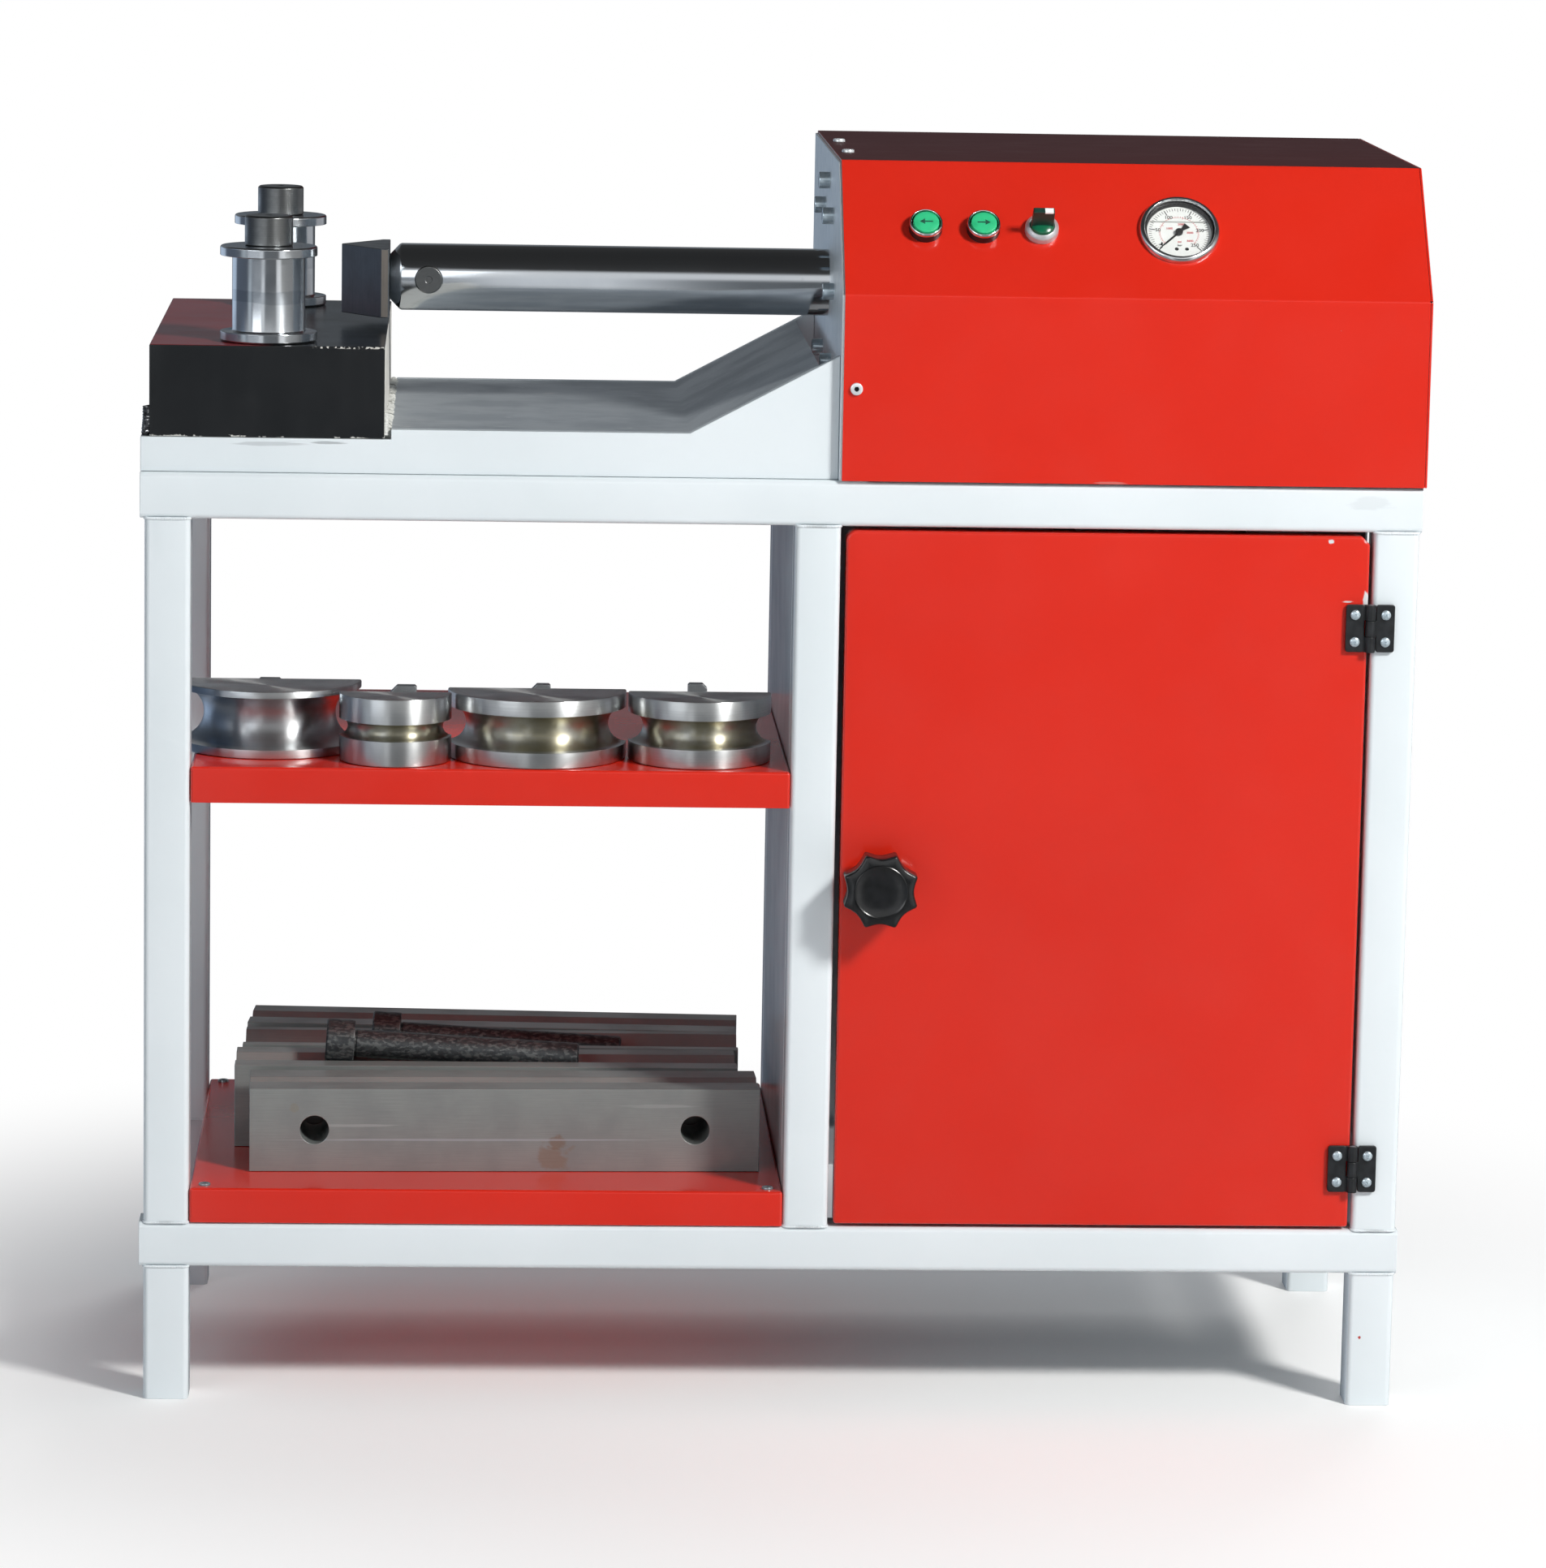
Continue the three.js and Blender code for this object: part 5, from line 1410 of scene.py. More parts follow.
@dataclass
class Selector(PanelPart):
    """Selector switch, its handle pointing right."""

    def build(self) -> None:
        """Makes the selector."""
        ring = [(10.8, 0), (14.75, 0), (14.75, 5.2), (14.3, 6.2), (11.6, 8.4), (10.8, 8.3)]
        self.put(Shape().lathe(ring), "selector_ring", SATIN, bevel=0.25, node="selector_base")
        self.put(Shape().lathe(oblong(0, 11, -34, 2), 48), "selector_shank", SATIN)
        dome = [(0, 3), (10.5, 3), (10.5, 8.6), (9.8, 10), (8, 11), (5, 11.6), (0, 11.9)]
        self.put(Shape().lathe(dome), "selector_disc", DEEP_GREEN, "selector", node="selector_knob")
        grip = [(-9.75, 9), (9.75, 9), (9.3, 29.2), (8.6, 30), (-8.6, 30), (-9.3, 29.2)]
        self.put(Shape().prism(grip, Axis.Y, -2.7, 2.7), "selector_handle", HANDLE_GREEN, "selector", 0.7)
        mark = Shape().prism(oblong(0.8, 8.2, -2.78, 2), Axis.Z, 28.2, 30.08)
        self.put(mark, "selector_mark", MARK_WHITE, "selector")


@dataclass
class Gauge(PanelPart):
    """Pressure gauge with its dial and pointer."""

    face: float = -2.5
    ink: float = 0.1
    zero: float = 225
    sweep: float = 270
    full: float = 250
    bar_for_psi: float = 0.0689476

    def build(self) -> None:
        """Makes the gauge."""
        ring = [(30.7, 2), (30.7, 5.2), (31.4, 6), (33, 5.8), (34.6, 4.6), (35.4, 2.8), (35.5, 0),
                (31.8, 0), (31.6, -22), (30.7, -22)]
        self.put(Shape().lathe(ring, 128), "gauge_ring", GAUGE_RING, bevel=0.15, node="gauge_case")
        lip = [(28.4, -2.3), (28.4, 0.4), (28.9, 1.4), (29.6, 1.9), (30.6, 1.9), (30.6, -2.3)]
        self.put(Shape().lathe(lip), "gauge_seal", INK_BLACK, bevel=0.2)
        self.put(Shape().lathe(oblong(0, 29.4, -4, self.face)), "gauge_dial", DIAL_WHITE)
        self.put(Shape().lathe([(0, -26), (6, -26), (7, -24), (7, -18), (0, -18)], 48), "gauge_stem", SATIN)
        glass = [(0, 2.2), (29.2, 2.2), (29.2, 3.6), (20, 4.1), (0, 4.3)]
        self.put(Shape().lathe(glass), "gauge_window", GLASS, node="gauge_glass")
        self.scale()
        self.figures()
        self.pointer()

    def reading(self, bar: float) -> float:
        """Returns the direction of a pressure on the dial, in radians."""
        return radians(self.zero - self.sweep * bar / self.full)

    def scale(self) -> None:
        """Makes the dial's ticks, rivets and level line."""
        black, red = Shape(), Shape()
        levels = self.face, self.face + self.ink
        ticks = []
        for step in range(51):
            inner, wide = (21.2, 0.8) if step % 10 == 0 else (23 if step % 5 == 0 else 24, 0.42)
            ticks.append((black, step * 5, inner, wide, 26.6))
        ticks += [(red, step * 100 * self.bar_for_psi, 16.9 if step % 10 else 15.2, 0.36, 18)
                  for step in range(37)]
        for shape, bar, inner, wide, outer in ticks:
            turn = Matrix.Rotation(self.reading(bar), 2)
            corners = [turn @ Vector(corner) for corner in oblong(inner, outer, -wide / 2, wide / 2)]
            shape.prism(corners, Axis.Z, *levels)
        arc = [self.reading(step * 2.5) for step in range(101)]
        for first, second in zip(arc[::2], arc[1::2]):
            corners = ((16.5, first), (16.9, first), (16.9, second), (16.5, second))
            red.prism([(r * cos(a), r * sin(a)) for r, a in corners], Axis.Z, *levels)
        rivets = (("left", -4.5), ("right", 4.5))
        for _, offset in rivets:
            black.prism(circle(1.7, 20, (offset + 1.6, -17.4)), Axis.Z, *levels)
        self.put(black, "dial_ticks", INK_BLACK)
        self.put(red, "dial_inner_ticks", INK_RED)
        for side, offset in rivets:
            head = circle(1.25, 20, (offset + 2, -17.8))
            self.put(
                Shape().prism(head, Axis.Z, levels[1], levels[1] + self.ink), f"dial_rivet_{side}", BRIGHT)
        lines = Shape()
        for low, high in ((11.2, 11.7), (12.3, 12.5)):
            lines.prism(oblong(-25.2, 25.2, low, high), Axis.Z, self.face + 0.2, self.face + 0.4)
        self.put(lines, "dial_level_line", LEVEL_GREY)

    def figures(self) -> None:
        """Makes the dial's numbers and units."""
        for bar in (50, 100, 150, 200, 250):
            self.word(f"dial_bar_{bar}", str(bar), self.reading(bar), 18.7, 4.8, INK_BLACK)
        for psi, reach in ((1000, 9.6), (2000, 9.6), (3000, 9.6), (3600, 12.6)):
            self.word(f"dial_psi_{psi}", str(psi), self.reading(psi * self.bar_for_psi), reach, 3, INK_RED)
        down = -pi / 2
        self.word("dial_unit_psi", "psi", down, 9.6, 3, INK_RED)
        self.word("dial_unit_bar", "bar", down, 13.4, 3, INK_BLACK)

    def word(self, name: str, text: str, angle: float, reach: float, size: float, finish: Finish) -> None:
        """Makes one number or unit on the dial.

        Args:
            name: Name of the piece.
            text: What it says.
            angle: Direction from the dial's middle.
            reach: Distance from the dial's middle.
            size: Size of the letters.
            finish: Ink.
        """
        curve = bpy.data.curves.new(name, "FONT")
        curve.body = text
        curve.size = size * MM
        curve.align_x = "CENTER"
        curve.align_y = "CENTER"
        curve.extrude = 0.04 * MM
        curve.offset = 0.05 * MM
        obj = added(name, curve)
        across, along = reach * cos(angle), reach * sin(angle)
        spot = self.cover.panel_point(self.x + across, self.up + along, self.face + self.ink)
        obj.matrix_world = pose(spot, self.cover.tilt)
        curve.materials.append(material(finish))
        settle(obj, "press")

    def pointer(self) -> None:
        """Makes the pointer with its hub and stop pin."""
        blade = [(-10.5, -3.2), (-3.6, -1), (16, -0.8), (24, -0.3), (24, 0.3), (16, 0.8), (-3.6, 1),
                 (-10.5, 3.2)]
        self.put(Shape().prism(blade, Axis.Z, -1.5, -0.9), "needle", INK_BLACK, "pointer", 0.1,
                 "gauge_pointer", self.zero)
        hub = Shape().lathe([(0, -1.8), (3.3, -1.8), (3.3, 0.4), (2.6, 1.1), (0, 1.3)], 48)
        self.put(hub, "needle_hub", INK_BLACK, "pointer")
        below, reach = radians(self.zero - 6), 20.4
        stop = Shape().lathe([(0, -2.5), (0.9, -2.5), (0.9, -0.2), (0, 0)], 16,
                             middle=(reach * cos(below), reach * sin(below)))
        self.put(stop, "needle_stop", INK_BLACK)


@dataclass
class Controls:
    """Push buttons, selector and pressure gauge on the slanted panel."""

    cover: Cover
    drop: float = 1.6
    forward_x: float = 677
    back_x: float = 727.5
    selector_x: float = 778.6

    def build(self) -> None:
        """Makes every control."""
        low = -self.drop
        Button(self.cover, self.forward_x, low, "forward", 180).build()
        Button(self.cover, self.back_x, low, "back", 0).build()
        Selector(self.cover, self.selector_x, low).build()
        Gauge(self.cover, self.cover.gauge_x, 0).build()


@dataclass
class Door:
    """Cabinet door with its knob, latch cam and hinges."""

    left: float = 611
    right: float = 1070.4
    bottom: float = 164
    top: float = 784.5
    depth: float = 20
    sheet: float = 2
    knob: Point = (644.6, 472)
    hinge: Point = (1072.3, -5)
    hinge_levels: tuple[tuple[str, float], ...] = (("top", 704), ("bottom", 218))

    def build(self) -> None:
        """Makes the door and all that is on it."""
        corners = [(self.left, self.bottom), (self.right, self.bottom), (self.right, self.top - 7),
                   (self.right - 7, self.top), (self.left, self.top)]
        pan = sheet_pan(corners, [2.6, 2.6, 2.5, 2.5, 9], Axis.Y, 0, self.depth, self.sheet, 2.2)
        publish(pan, "door_sheet", RED_DOOR, "door", node="door")
        self.handle()
        for level, z in self.hinge_levels:
            self.hinge_pair(level, z)

    def handle(self) -> None:
        """Makes the lobed knob, its neck, spindle and cam."""
        x, z = self.knob
        turn = turned_to(Axis.Y, True)
        grip = [(0, 12), (25, 12), (30.5, 13.5), (33.6, 17), (35.2, 22), (35.2, 39.5), (34.9, 41.2),
                (34, 42.4), (32.8, 43), (24.2, 43.2), (0, 43.2)]
        spin = turn @ Matrix.Rotation(pi / 8, 3, "Z")
        publish(Shape().lathe(grip, 192, 8, 0.17), "knob_grip", KNOB_BLACK, "knob", (x, 0, z), spin,
                node="door_knob")
        cap = [(0, 41), (23.8, 41), (23.8, 43.6), (23.5, 44.3), (23, 44.6), (22.4, 44.3), (21.6, 43.8),
               (10, 43.6), (0, 43.5)]
        neck = [(0, 0.6), (12.5, 0.6), (12.5, 10.5), (14.5, 13), (0, 13)]
        for name, finish, profile, steps, bevel in (("cap", KNOB_BLACK, cap, 96, 0),
                                                    ("neck", KNOB_BLACK, neck, 64, 0.3),
                                                    ("spindle", ZINC, oblong(0, 5.2, -44.6, 1), 32, 0.3)):
            publish(Shape().lathe(profile, steps), f"knob_{name}", finish, "knob", (x, 0, z), turn, bevel)
        cam = rounded(oblong(x - 8, x + 8, z - 8, z + 52), [7.9, 7.9, 3, 3])
        publish(Shape().prism(cam, Axis.Y, 40.6, 44.6), "latch_cam", ZINC, "knob", bevel=0.4)

    def hinge_pair(self, level: str, z: float) -> None:
        """Makes one hinge: its two leaves, knuckles, pin and screws.

        Args:
            level: Name of the hinge.
            z: Height of its middle.
        """
        x, y = self.hinge
        half, third, slit = 21, 7, 0.15
        outer = [(-half, -third - slit), (third + slit, half)]
        for leaf, side, body, tongues in (("door", -1, "door", outer),
                                          ("stand", 1, "press", [(slit - third, third - slit)])):
            shape, barrel = Shape(), Shape()
            near, far = sorted((side * 5.2, side * 21.5))
            shape.prism(rounded(oblong(near, far, -half, half), 2.2, 4), Axis.Y, 0.7, 4.7)
            for low, high in tongues:
                shape.prism(oblong(*sorted((0, side * 6)), low, high), Axis.Y, 0.7, 4.4)
                barrel.lathe(oblong(0, 4.5, low, high), 48)
            publish(shape, f"leaf_{level}_{leaf}", HINGE_BLACK, body, (x, y, z), bevel=0.6,
                    node=f"hinge_{level}_{leaf}_leaf")
            publish(barrel, f"knuckle_{level}_{leaf}", HINGE_BLACK, body, (x, y, z), bevel=0.5)
            for number, offset in enumerate((-12, 12), 1):
                publish(domed_screw(4.4, 2.2), f"hinge_screw_{level}_{leaf}_{number}", ZINC, body,
                        (x + side * 13.5, y + 0.7, z + offset), turned_to(Axis.Y, True))
        pin = Shape().lathe(oblong(0, 2.2, -half - 0.05, half + 0.05), 24)
        publish(pin, f"hinge_pin_{level}", ZINC, at=(x, y, z))


def sheet_pan(points: list[Point], radii: list[float], axis: Axis, face: float, rim: float, sheet: float,
              fold: float = 2.4) -> Shape:
    """Returns a folded sheet tray: a flat face with lips turned to one side.

    Args:
        points: Corners of the tray, turning left at each.
        radii: Radius of each corner.
        axis: Axis across the face.
        face: Where the flat face lies on that axis.
        rim: Where the lips end.
        sheet: Thickness of the sheet.
        fold: Outer radius of the folds.

    Returns:
        The shape.
    """
    shape = Shape()
    way = 1 if rim > face else -1
    arc = [pi / 2 * step / 5 for step in range(6)]
    rows = [(fold * (1 - sin(a)), face + way * fold * (1 - cos(a))) for a in arc]
    rows += [(0, rim - way * 0.3), (0.3, rim), (sheet - 0.3, rim), (sheet, rim - way * 0.3),
             (sheet, face + way * sheet)]
    return shape.skin([shape.ring(rounded(points, radii, inset=depth), axis, level) for depth, level in rows])


@dataclass
class Shelves:
    """The two red shelf trays and the lower one's screws."""

    left: float = 40.5
    right: float = 565.5
    depth: float = 456
    upper: Point = (538, 570)
    lower: Point = (161.3, 192.3)
    sheet: float = 2
    screw_inset: float = 13

    def build(self) -> None:
        """Makes both shelves."""
        corners = oblong(self.left, self.right, 0, self.depth)
        for name, (low, high) in (("upper", self.upper), ("lower", self.lower)):
            tray = sheet_pan(corners, [2.6] * 4, Axis.Z, high, low, self.sheet)
            publish(tray, f"tray_{name}", RED, node=f"shelf_{name}")
        edge, top = self.screw_inset, self.lower[1]
        for number, x in enumerate((self.left + edge, self.right - edge), 1):
            for side, y in (("front", edge), ("rear", self.depth - edge)):
                head = socket_screw(5.2, 2.2, 2, 0.5)
                publish(head, f"tray_screw_{side}_{number}", TRAY_SCREW, at=(x, y, top))


@dataclass
class Cabinet:
    """White sheets round the cabinet, their rivets and the cable gland."""

    side_x: float = 566
    front: float = 40.3
    side_rear: float = 415.7
    right: float = 1073.7
    rear: float = 438
    left: float = 606.3
    bottom: float = 161.3
    top: float = 787.7
    sheet: float = 2
    gland: Point = (983.7, 281.3)

    def build(self) -> None:
        """Makes the sheets, rivets and gland."""
        thick, edge = self.sheet, self.front + 1.7
        side = oblong(self.front, self.side_rear, self.bottom, self.top)
        publish(Shape().prism(side, Axis.X, self.side_x, self.side_x + thick), "side_sheet", WHITE,
                bevel=0.4, node="cabinet_side")
        corners = [(self.left, self.rear - thick), (self.right - thick, self.rear - thick),
                   (self.right - thick, edge), (self.right, edge), (self.right, self.rear),
                   (self.left, self.rear)]
        wrap = Shape().prism(rounded(corners, [0, 1.2, 0, 0, 3.2, 0]), Axis.Z, self.bottom, self.top)
        publish(wrap, "wrap_sheet", WHITE, bevel=0.4, node="cabinet_wrap")
        x, z = self.gland
        turn = turned_to(Axis.Y)
        dome = [(5, 5), (11, 5), (11, 10), (9.5, 14), (7, 16), (5, 16)]
        for name, finish, shape, bevel in (
                ("nut", KNOB_BLACK, Shape().prism(circle(12, 6), Axis.Z, 0, 6), 0.8),
                ("cap", KNOB_BLACK, Shape().lathe(dome, 64), 0.4),
                ("plug", RUBBER, Shape().lathe(oblong(0, 5, 5, 13.5), 32), 0)):
            publish(shape, f"gland_{name}", finish, at=(x, self.rear, z), turn=turn, bevel=bevel)
        heads, dome = Shape(), [(0, -0.2), (4, -0.2), (3.6, 0.8), (2.2, 1.4), (0, 1.6)]
        margin, inset, count = 20, 14, 5
        rise = (self.top - self.bottom - 2 * margin) / (count - 1)
        for level in range(count):
            for rivet_x in (self.left + inset, self.right - inset):
                heads.lathe(dome, 24, middle=(rivet_x, -(self.bottom + margin + rise * level)))
        publish(heads.turned(Matrix.Translation((0, self.rear, 0)) @ turn.to_4x4()), "wrap_rivets", WHITE)


def curve_points(points: list[Place], steps: int) -> list[Place]:
    """Returns a smooth curve through points.

    Args:
        points: Points in order.
        steps: Pieces between each two.

    Returns:
        Points along the curve.
    """
    path = [Vector(point) for point in points]
    ends = [path[0] * 2 - path[1], *path, path[-1] * 2 - path[-2]]
    result = []
    for index in range(1, len(ends) - 2):
        a, b, c, d = ends[index - 1:index + 3]
        for step in range(steps):
            t = step / steps
            bend, twist = 2 * a - 5 * b + 4 * c - d, 3 * b - a - 3 * c + d
            result.append(tuple(0.5 * (2 * b + (c - a) * t + bend * t**2 + twist * t**3)))
    result.append(tuple(path[-1]))
    return result


@dataclass
class PowerUnit:
    """Oil tank, motor, cylinder barrel and hoses inside the cabinet and cover."""

    tank: tuple[Place, Place] = ((640, 25, 161.3), (1040, 431, 381.3))
    lid_top: float = 385.3
    motor: Point = (760, 228)
    barrel_left: float = 628.3
    barrel_right: float = 1043.3
    ports: Point = (672.3, 1004.3)
    port_drop: float = 76
    hose_x: Point = (905, 955)
    hose_y: float = 125
    valve: tuple[Point, Point] = ((880, 80), (980, 170))
    valve_height: float = 48
    spool_height: float = 42
    gap: float = 0.3

    def build(self) -> None:
        """Makes the tank, valve, motor, barrel and hoses."""
        (left, front, bottom), (right, rear, top) = self.tank
        body = Shape().prism(rounded(oblong(left, right, front, rear), 8, 5), Axis.Z, bottom, top)
        publish(body, "tank_body", TANK_GREY, bevel=1, node="oil_tank")
        lid = rounded(oblong(left - 4, right + 4, front + 4, rear - 4), 6, 4)
        publish(Shape().prism(lid, Axis.Z, top + 0.1, self.lid_top), "tank_lid", TANK_GREY, bevel=0.8)
        spots = ((652, 45), (1028, 45), (652, 411), (1028, 411), (840, 45), (840, 411))
        for number, (x, y) in enumerate(spots, 1):
            publish(socket_screw(5, 4, 2.4), f"lid_screw_{number}", ZINC, at=(x, y, self.lid_top))
        cap = Shape().lathe([(0, 0), (15, 0), (15, 8), (22, 8), (22, 30), (20.5, 34), (0, 35)], 96, 24, 0.04)
        publish(cap, "filler_cap", KNOB_BLACK, at=(682, 90, self.lid_top), bevel=0.4)
        self.valve_block()
        self.motor_unit()
        self.barrel()
        self.hoses()

    def valve_block(self) -> None:
        """Makes the valve block with its two coils."""
        (left, front), (right, rear) = self.valve
        top = self.lid_top + self.valve_height
        publish(Shape().prism(oblong(left, right, front, rear), Axis.Z, self.lid_top, top), "valve_block",
                SATIN, bevel=1.2)
        spool = rounded(oblong(left + 28, right - 28, front + 18, rear - 18), 4, 4)
        publish(Shape().prism(spool, Axis.Z, top, top + self.spool_height), "valve_body", BARREL_BLACK,
                bevel=1.5)
        for side, start in (("left", left), ("right", right - 30)):
            publish(Shape().lathe(oblong(0, 17, 0, 30), 64), f"coil_{side}", KNOB_BLACK,
                    at=(start, (front + rear) / 2, top + 20), turn=turned_to(Axis.X), bevel=1.2)

    def motor_unit(self) -> None:
        """Makes the finned motor, its flange, cowl and terminal box."""
        x, y = self.motor
        bottom = self.lid_top + self.gap
        fins = [circle(63 if step % 4 > 1 else 70, 144)[step] for step in range(144)]
        flange = [(0, 0), (82, 0), (82, 12), (60, 12), (60, 16), (0, 16)]
        cowl = [(0, 178), (66, 178), (66, 212), (62, 218), (54, 220), (0, 220)]
        box = rounded(oblong(x + 55, x + 95, y - 30, y + 30), 4, 4)
        spot = (x, y, bottom)
        publish(Shape().lathe(flange), "motor_flange", TANK_GREY, at=spot, bevel=1, node="pump_motor")
        publish(Shape().prism(fins, Axis.Z, 16, 180), "motor_body", TANK_GREY, at=spot, bevel=0.4)
        publish(Shape().lathe(cowl), "motor_cowl", BARREL_BLACK, at=spot, bevel=0.5)
        publish(Shape().prism(box, Axis.Z, bottom + 24, bottom + 90), "terminal_box", BARREL_BLACK, bevel=1.5)
        publish(Shape().lathe(oblong(0, 40, -90, 0), 64), "pump_body", SATIN, at=spot, bevel=1)

    def barrel(self) -> None:
        """Makes the cylinder barrel with its flange, end cap and ports."""
        end = self.barrel_right - self.barrel_left
        profile = [
            (30.4, 0), (107.5, 0), (107.5, 30), (62, 30), (62, end - 27), (60, end - 26), (60, end - 24),
            (62, end - 23), (62, end), (0, end), (0, end - 20), (50, end - 20), (50, 30), (30.4, 30)]
        publish(Shape().lathe(profile), "barrel_tube", BARREL_BLACK, at=(self.barrel_left, *RAM_AXIS),
                turn=turned_to(Axis.X), bevel=0.8, node="cylinder_barrel")
        for number, x in enumerate(self.ports, 1):
            publish(Shape().lathe(oblong(0, 11, 0, 20), 48), f"port_boss_{number}", BARREL_BLACK,
                    at=(x, RAM_AXIS[0], RAM_AXIS[1] - self.port_drop), bevel=0.6)

    def hoses(self) -> None:
        """Makes the two hoses with their end fittings and clip."""
        low = self.lid_top + self.valve_height + self.spool_height + self.gap
        high = RAM_AXIS[1] - self.port_drop - self.gap
        start_y, end_y = self.hose_y, RAM_AXIS[0]
        nut = [(0, 0), (9.5, 0), (9.5, 14), (8.6, 16), (8.6, 22), (0, 22)]
        for number, (start, end) in enumerate(zip(self.hose_x, self.ports), 1):
            middle = ((start + end) / 2, (start_y + end_y) / 2, low / 4 + high * 3 / 4)
            points = [(start, start_y, low), (start, start_y, low + 40), (start, start_y, low + 160),
                      middle, (end, end_y, high - 40), (end, end_y, high)]
            publish(Shape().pipe(curve_points(points, 12), 7.6, 16), f"hose_{number}", RUBBER,
                    node="hydraulic_hoses" if number == 1 else "")
            for name, spot in (("foot", (start, start_y, low)), ("head", (end, end_y, high - 22))):
                publish(Shape().lathe(nut, 12), f"hose_{name}_{number}", ZINC, at=spot, bevel=0.4)
        clip = Shape().prism(rounded(oblong(895, 965, 115, 135), 8, 4), Axis.Z, 575.3, 595.3)
        publish(clip, "hose_clip", KNOB_BLACK, bevel=0.8)


@dataclass(frozen=True)
class Former:
    """One half-disc former: its groove's radius and height, and its key.

    The key has its width, its place along the face, how far it stands proud, and its left and right chamfers.
    """

    name: str
    groove: float
    rise: float
    key: Row
    tint: Colour
    side_tint: Colour


BLUE, STRAW, GREY = (128, 150, 176), (160, 154, 128), (176, 178, 180)


@dataclass
class Tooling:
    """Formers on the upper shelf, V bars and loose pins on the lower one.

    Each bar has the place of its left end, that of its front, its groove's width and its turn in degrees.
    """

    formers: tuple[Former, ...] = (
        Former("former_1", 23, 31, (20, 0, 0, 1.5, 1.5), GREY, BLUE),
        Former("former_2", 7.6, 30, (24, 6.6, 5.5, 7, 1.5), STRAW, BLUE),
        Former("former_3", 16, 30, (19, 2.2, 3.5, 7, 1.5), STRAW, GREY),
        Former("former_4", 13, 30, (17, -2.2, 7, 1.5, 4), STRAW, GREY),
    )
    height: float = 60
    edge: float = 1.5
    key_depth: float = 9
    bar_size: Place = (457, 80, 75.5)
    bar_floor: float = 192.6
    hole: Place = (12.9, 58, 38)
    bars: tuple[Row, ...] = (
        (91, 65.98, 22, 1.6), (74, 165.98, 35, 0.3), (78, 257, 57, -0.9), (79, 358, 28, -3.5))
    pins: tuple[tuple[str, int, float], ...] = (("front", 1, 108), ("rear", 2, 144))
    pin: Row = (12.7, 21, 26, 205)

    def build(self) -> None:
        """Makes all the loose tooling."""
        for former in self.formers:
            self.half_disc(former)
        for number, row in enumerate(self.bars, 1):
            self.v_bar(number, *row)
        for pin in self.pins:
            self.spare_pin(*pin)

    def half_disc(self, former: Former) -> None:
        """Makes one former and its key.

        Args:
            former: Its sizes.
        """
        low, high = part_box(former.name)
        radius = (high.x - low.x) / 2 / MM
        spot = (((low.x + high.x) / 2 - SHIFT.x) / MM, (low.y - SHIFT.y) / MM + radius, low.z / MM)
        arc = [pi * step / 20 - pi / 2 for step in range(21)]
        edge, bevel, top = self.edge, self.edge * 0.3, self.height
        profile = [(radius - edge, 0), (radius - bevel, bevel), (radius, edge)]
        profile += [
            (radius - former.groove * cos(a), former.rise + former.groove * sin(a)) for a in arc]
        profile += [(radius, top - edge), (radius - bevel, top - bevel), (radius - edge, top)]
        shape, steps = Shape(), 72
        rows = []
        for step in range(steps + 1):
            angle = -pi * step / steps
            rows.append(
                [shape.mesh.verts.new((r * cos(angle), r * sin(angle), z)) for r, z in profile])
        foot, head = shape.mesh.verts.new((0, 0, 0)), shape.mesh.verts.new((0, 0, top))
        for first, second in zip(rows, rows[1:]):
            shape.wall(first, second, False)
            shape.mesh.faces.new((foot, first[0], second[0]))
            shape.mesh.faces.new((head, second[-1], first[-1]))
        shape.mesh.faces.new([foot, *rows[0], head])
        shape.mesh.faces.new([head, *reversed(rows[-1]), foot])
        steel = GrooveSteel(
            f"{former.name}_steel", "turned_steel", (206, 208, 208), (158, 162, 165), former.tint,
            former.side_tint, radius)
        publish(shape, f"{former.name}_body", steel, at=spot, node=former.name)
        width, x, proud, left_cut, right_cut = former.key
        left, right, peak = x - width / 2, x + width / 2, top + proud
        face = [(left, 0.2), (right, 0.2), (right, peak - right_cut), (right - right_cut, peak),
                (left + left_cut, peak), (left, peak - left_cut)]
        key = Shape().prism(face, Axis.Y, -1.5, self.key_depth)
        publish(key, f"{former.name}_key", KEY_STEEL, at=spot, bevel=0.6)

    def v_bar(self, number: int, x: float, front: float, groove: float, turn: float) -> None:
        """Makes one V bar.

        Args:
            number: Its number from the front.
            x: Place of its left end.
            front: Place of its front face.
            groove: Width of the V at the top.
            turn: Its turn on the shelf, in degrees.
        """
        length, depth, height = self.bar_size
        middle, half = depth / 2, groove / 2
        section = [(0, 0), (depth, 0), (depth, height), (middle + half, height), (middle, height - half),
                   (middle - half, height), (0, height)]
        spot, spin = (x, front, self.bar_floor), Matrix.Rotation(radians(turn), 3, "Z")
        steel = FRONT_BAR if number == 1 else BAR_STEEL
        piece = publish(Shape().prism(section, Axis.X, 0, length), f"tool_bar_{number}", steel, at=spot,
                        turn=spin, bevel=0.6, node=f"v_bar_{number}")
        radius, inset, rise = self.hole
        for along in (inset, length - inset):
            bore = Shape().lathe(oblong(0, radius, -6, depth + 6), 64)
            bore.turned(Matrix.Translation((along, 0, rise)) @ turned_to(Axis.Y).to_4x4())
            carve(piece, bore, spin, spot)

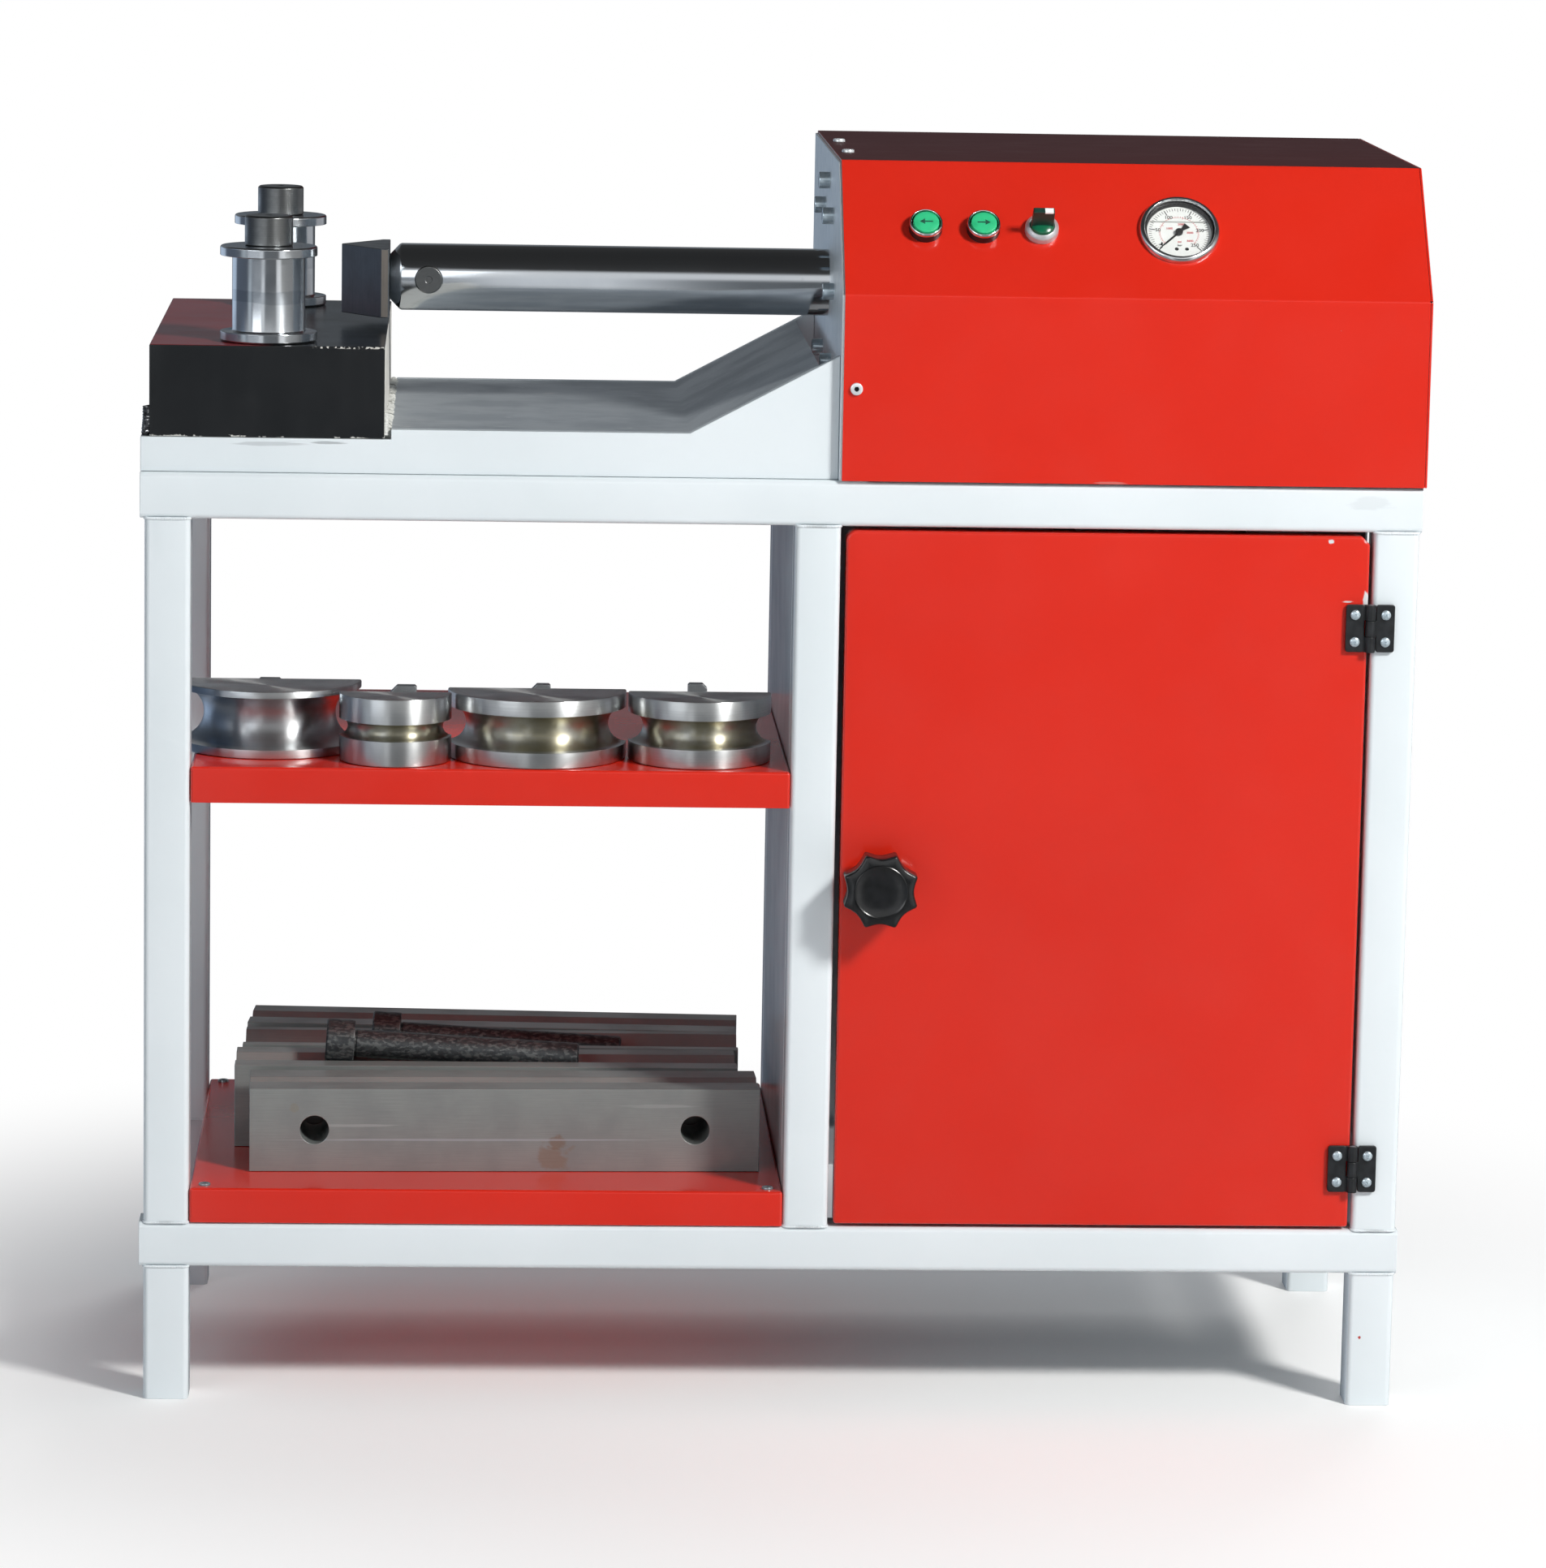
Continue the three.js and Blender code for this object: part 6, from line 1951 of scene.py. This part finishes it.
    def spare_pin(self, name: str, bar: int, along: float) -> None:
        """Makes one of the loose pins that lie in the bars' grooves.

        Args:
            name: Name of the pin.
            bar: Bar it lies on, counted from zero.
            along: Place of its head along the bar.
        """
        x, front, groove, turn = self.bars[bar]
        half = groove / 2
        shank, head, _, length = self.pin
        low, high = (
            radius * sqrt(2) - half if radius / sqrt(2) < half else sqrt(radius**2 - half**2)
            for radius in (shank, head))
        spin = Matrix.Rotation(radians(turn), 3, "Z")
        lay = spin @ Matrix.Rotation(asin((high - low) / length) - pi / 2, 3, "Y")
        offset = spin @ Vector((along, self.bar_size[1] / 2, 0))
        spot = (x + offset.x, front + offset.y, self.bar_floor + self.bar_size[2] + high + 0.6)
        publish(headed_pin(*self.pin), f"loose_pin_{name}", OXIDE, at=spot, turn=lay, bevel=0.5,
                node=f"spare_pin_{name}")


@dataclass(frozen=True)
class Lamp:
    """A square soft lamp, placed by its direction from the press, in degrees and metres."""

    name: str
    azimuth: float
    height: float
    away: float
    size: Point
    watts: float
    tint: Place
    mirrored: bool = True


@dataclass
class Studio:
    """Camera, floor, lamps and background.

    The bands give what bright metal mirrors by direction: azimuth 0 is the front and turns to the right.
    Each level gives, by elevation, the share of the high bands, the share of the end tone and that tone.
    """

    eye: Place = (-0.278908, -5.711760, 1.486730)
    right: Place = (0.9987571, -0.04646412, 0.01803746)
    up: Place = (-0.01003766, 0.16697058, 0.98591078)
    lens: float = 145.79
    sensor: float = 36
    floor_half: float = 30
    fill: Colour = (112, 117, 123)
    lights: tuple[Lamp, ...] = (
        Lamp("key_lamp", 42, 34, 6, (0.9, 0.9), 336, (1, 0.99, 0.96)),
        Lamp("fill_lamp", -38, 16, 6.5, (3, 2.4), 44, (0.94, 0.97, 1)),
        Lamp("back_lamp", 160, 30, 6.5, (2.6, 2), 95, (1, 1, 1), False),
    )
    low_band: tuple[tuple[float, Colour], ...] = (
        (-180, (68, 76, 84)), (-166, (92, 106, 122)), (-152, (200, 218, 240)), (-128, (196, 212, 232)),
        (-118, (97, 106, 120)), (-70, (90, 98, 110)), (-62, (190, 200, 208)), (-57, (190, 200, 208)),
        (-52, (134, 140, 148)), (-24, (140, 145, 150)), (-19, (240, 243, 246)), (-13, (240, 243, 246)),
        (-9, (106, 110, 114)), (24, (106, 108, 110)), (29, (250, 250, 250)), (38, (255, 255, 255)),
        (45, (160, 160, 158)), (96, (148, 148, 148)), (104, (188, 188, 190)), (136, (188, 190, 194)),
        (146, (88, 90, 94)), (180, (68, 76, 84)),
    )
    high_band: tuple[tuple[float, Colour], ...] = (
        (-180, (122, 126, 130)), (-110, (100, 102, 106)), (-85, (150, 165, 185)), (-70, (236, 238, 240)),
        (70, (243, 243, 243)), (90, (140, 140, 140)), (120, (80, 60, 62)), (150, (66, 28, 32)),
        (170, (66, 28, 32)), (176, (122, 126, 130)), (180, (122, 126, 130)),
    )
    levels: tuple[Row, ...] = (
        (-90, 0, 1, 0.28), (-38, 0, 1, 0.28), (-20, 0, 0, 0.28), (2, 0, 0, 0.2),
        (12, 1, 0, 0.1), (24, 1, 0, 0.05), (33, 1, 1, 0.05), (60, 1, 1, 0.035),
        (90, 1, 1, 0.03),
    )

    def build(self) -> None:
        """Makes the whole studio."""
        self.camera()
        self.floor()
        self.lamps()
        self.world()
        bpy.context.scene.view_settings.view_transform = "Standard"

    def camera(self) -> None:
        """Puts the camera at the photograph's viewpoint."""
        data = bpy.data.cameras.new("camera")
        data.lens = self.lens
        data.sensor_fit = "VERTICAL"
        data.sensor_height = self.sensor
        data.clip_end = 100
        camera = added("camera", data)
        columns = (self.right, self.up, Vector(self.right).cross(Vector(self.up)), self.eye)
        camera.matrix_world = Matrix([*zip(*columns), (0, 0, 0, 1)])
        bpy.context.scene.camera = camera

    def floor(self) -> None:
        """Makes the pale floor, which bright metal doesn't mirror."""
        half = self.floor_half
        mesh = bpy.data.meshes.new("studio_floor")
        mesh.from_pydata([(x, y, 0) for x, y in oblong(-half, half, -half, half)], [], [(0, 1, 2, 3)])
        floor = added("studio_floor", mesh)
        mesh.materials.append(material(StageFloor()))
        floor.visible_glossy = False

    def lamps(self) -> None:
        """Makes the soft lamps."""
        for light in self.lights:
            data = bpy.data.lights.new(light.name, "AREA")
            data.shape = "RECTANGLE"
            data.size, data.size_y = light.size
            data.energy = light.watts
            data.color = light.tint
            lamp = added(light.name, data)
            turn, rise = radians(light.azimuth), radians(light.height)
            way = Vector((sin(turn) * cos(rise), -cos(turn) * cos(rise), sin(rise)))
            lamp.location = Vector((0, 0, 0.6)) + way * light.away
            lamp.rotation_euler = (-way).to_track_quat("-Z", "Y").to_euler()
            lamp.visible_glossy = light.mirrored

    def world(self) -> None:
        """Makes the background: white to the camera, a soft fill and a workshop in reflections."""
        world = bpy.data.worlds.new("studio")
        bpy.context.scene.world = world
        world.use_nodes = True
        sky = Nodes(world.node_tree)
        right, back, up = sky.split(sky.add("ShaderNodeTexCoord").outputs["Generated"])
        turn = sky.math("ARCTAN2", right, sky.times(back, -1))
        azimuth = sky.math("MULTIPLY_ADD", turn, 1 / tau, 0.5)
        height = sky.math("MULTIPLY_ADD", sky.math("ARCSINE", up), 1 / pi, 0.5)
        low, high = (sky.stops(azimuth, [(angle / 360 + 0.5, linear(colour)) for angle, colour in band])
                     for band in (self.low_band, self.high_band))
        parts = [(angle / 180 + 0.5, (*shares, 1)) for angle, *shares in self.levels]
        rise, end, grey = sky.split(sky.stops(height, parts))
        seen = sky.blend(end, sky.blend(rise, low, high), grey)
        rays = sky.add("ShaderNodeLightPath").outputs
        light = sky.blend(rays["Is Glossy Ray"], self.fill, seen)
        clear = sky.math("MAXIMUM", rays["Is Camera Ray"], rays["Is Transmission Ray"])
        sky.feed(
            world.node_tree.nodes["Background"].inputs["Color"], sky.blend(clear, light, (255, 255, 255)))


def main() -> None:
    """Builds the press's looks in order."""
    logging.basicConfig(level=logging.INFO, format="%(message)s")
    Studio().build()
    cover = Cover()
    for part in (Stand(), Bed(), Rollers(), Ram(), cover, Controls(cover), Door(), Shelves(), Cabinet(),
                 PowerUnit(), Tooling()):
        part.build()
        LOG.info("%s is built", type(part).__name__)


if __name__ == "__main__":
    main()
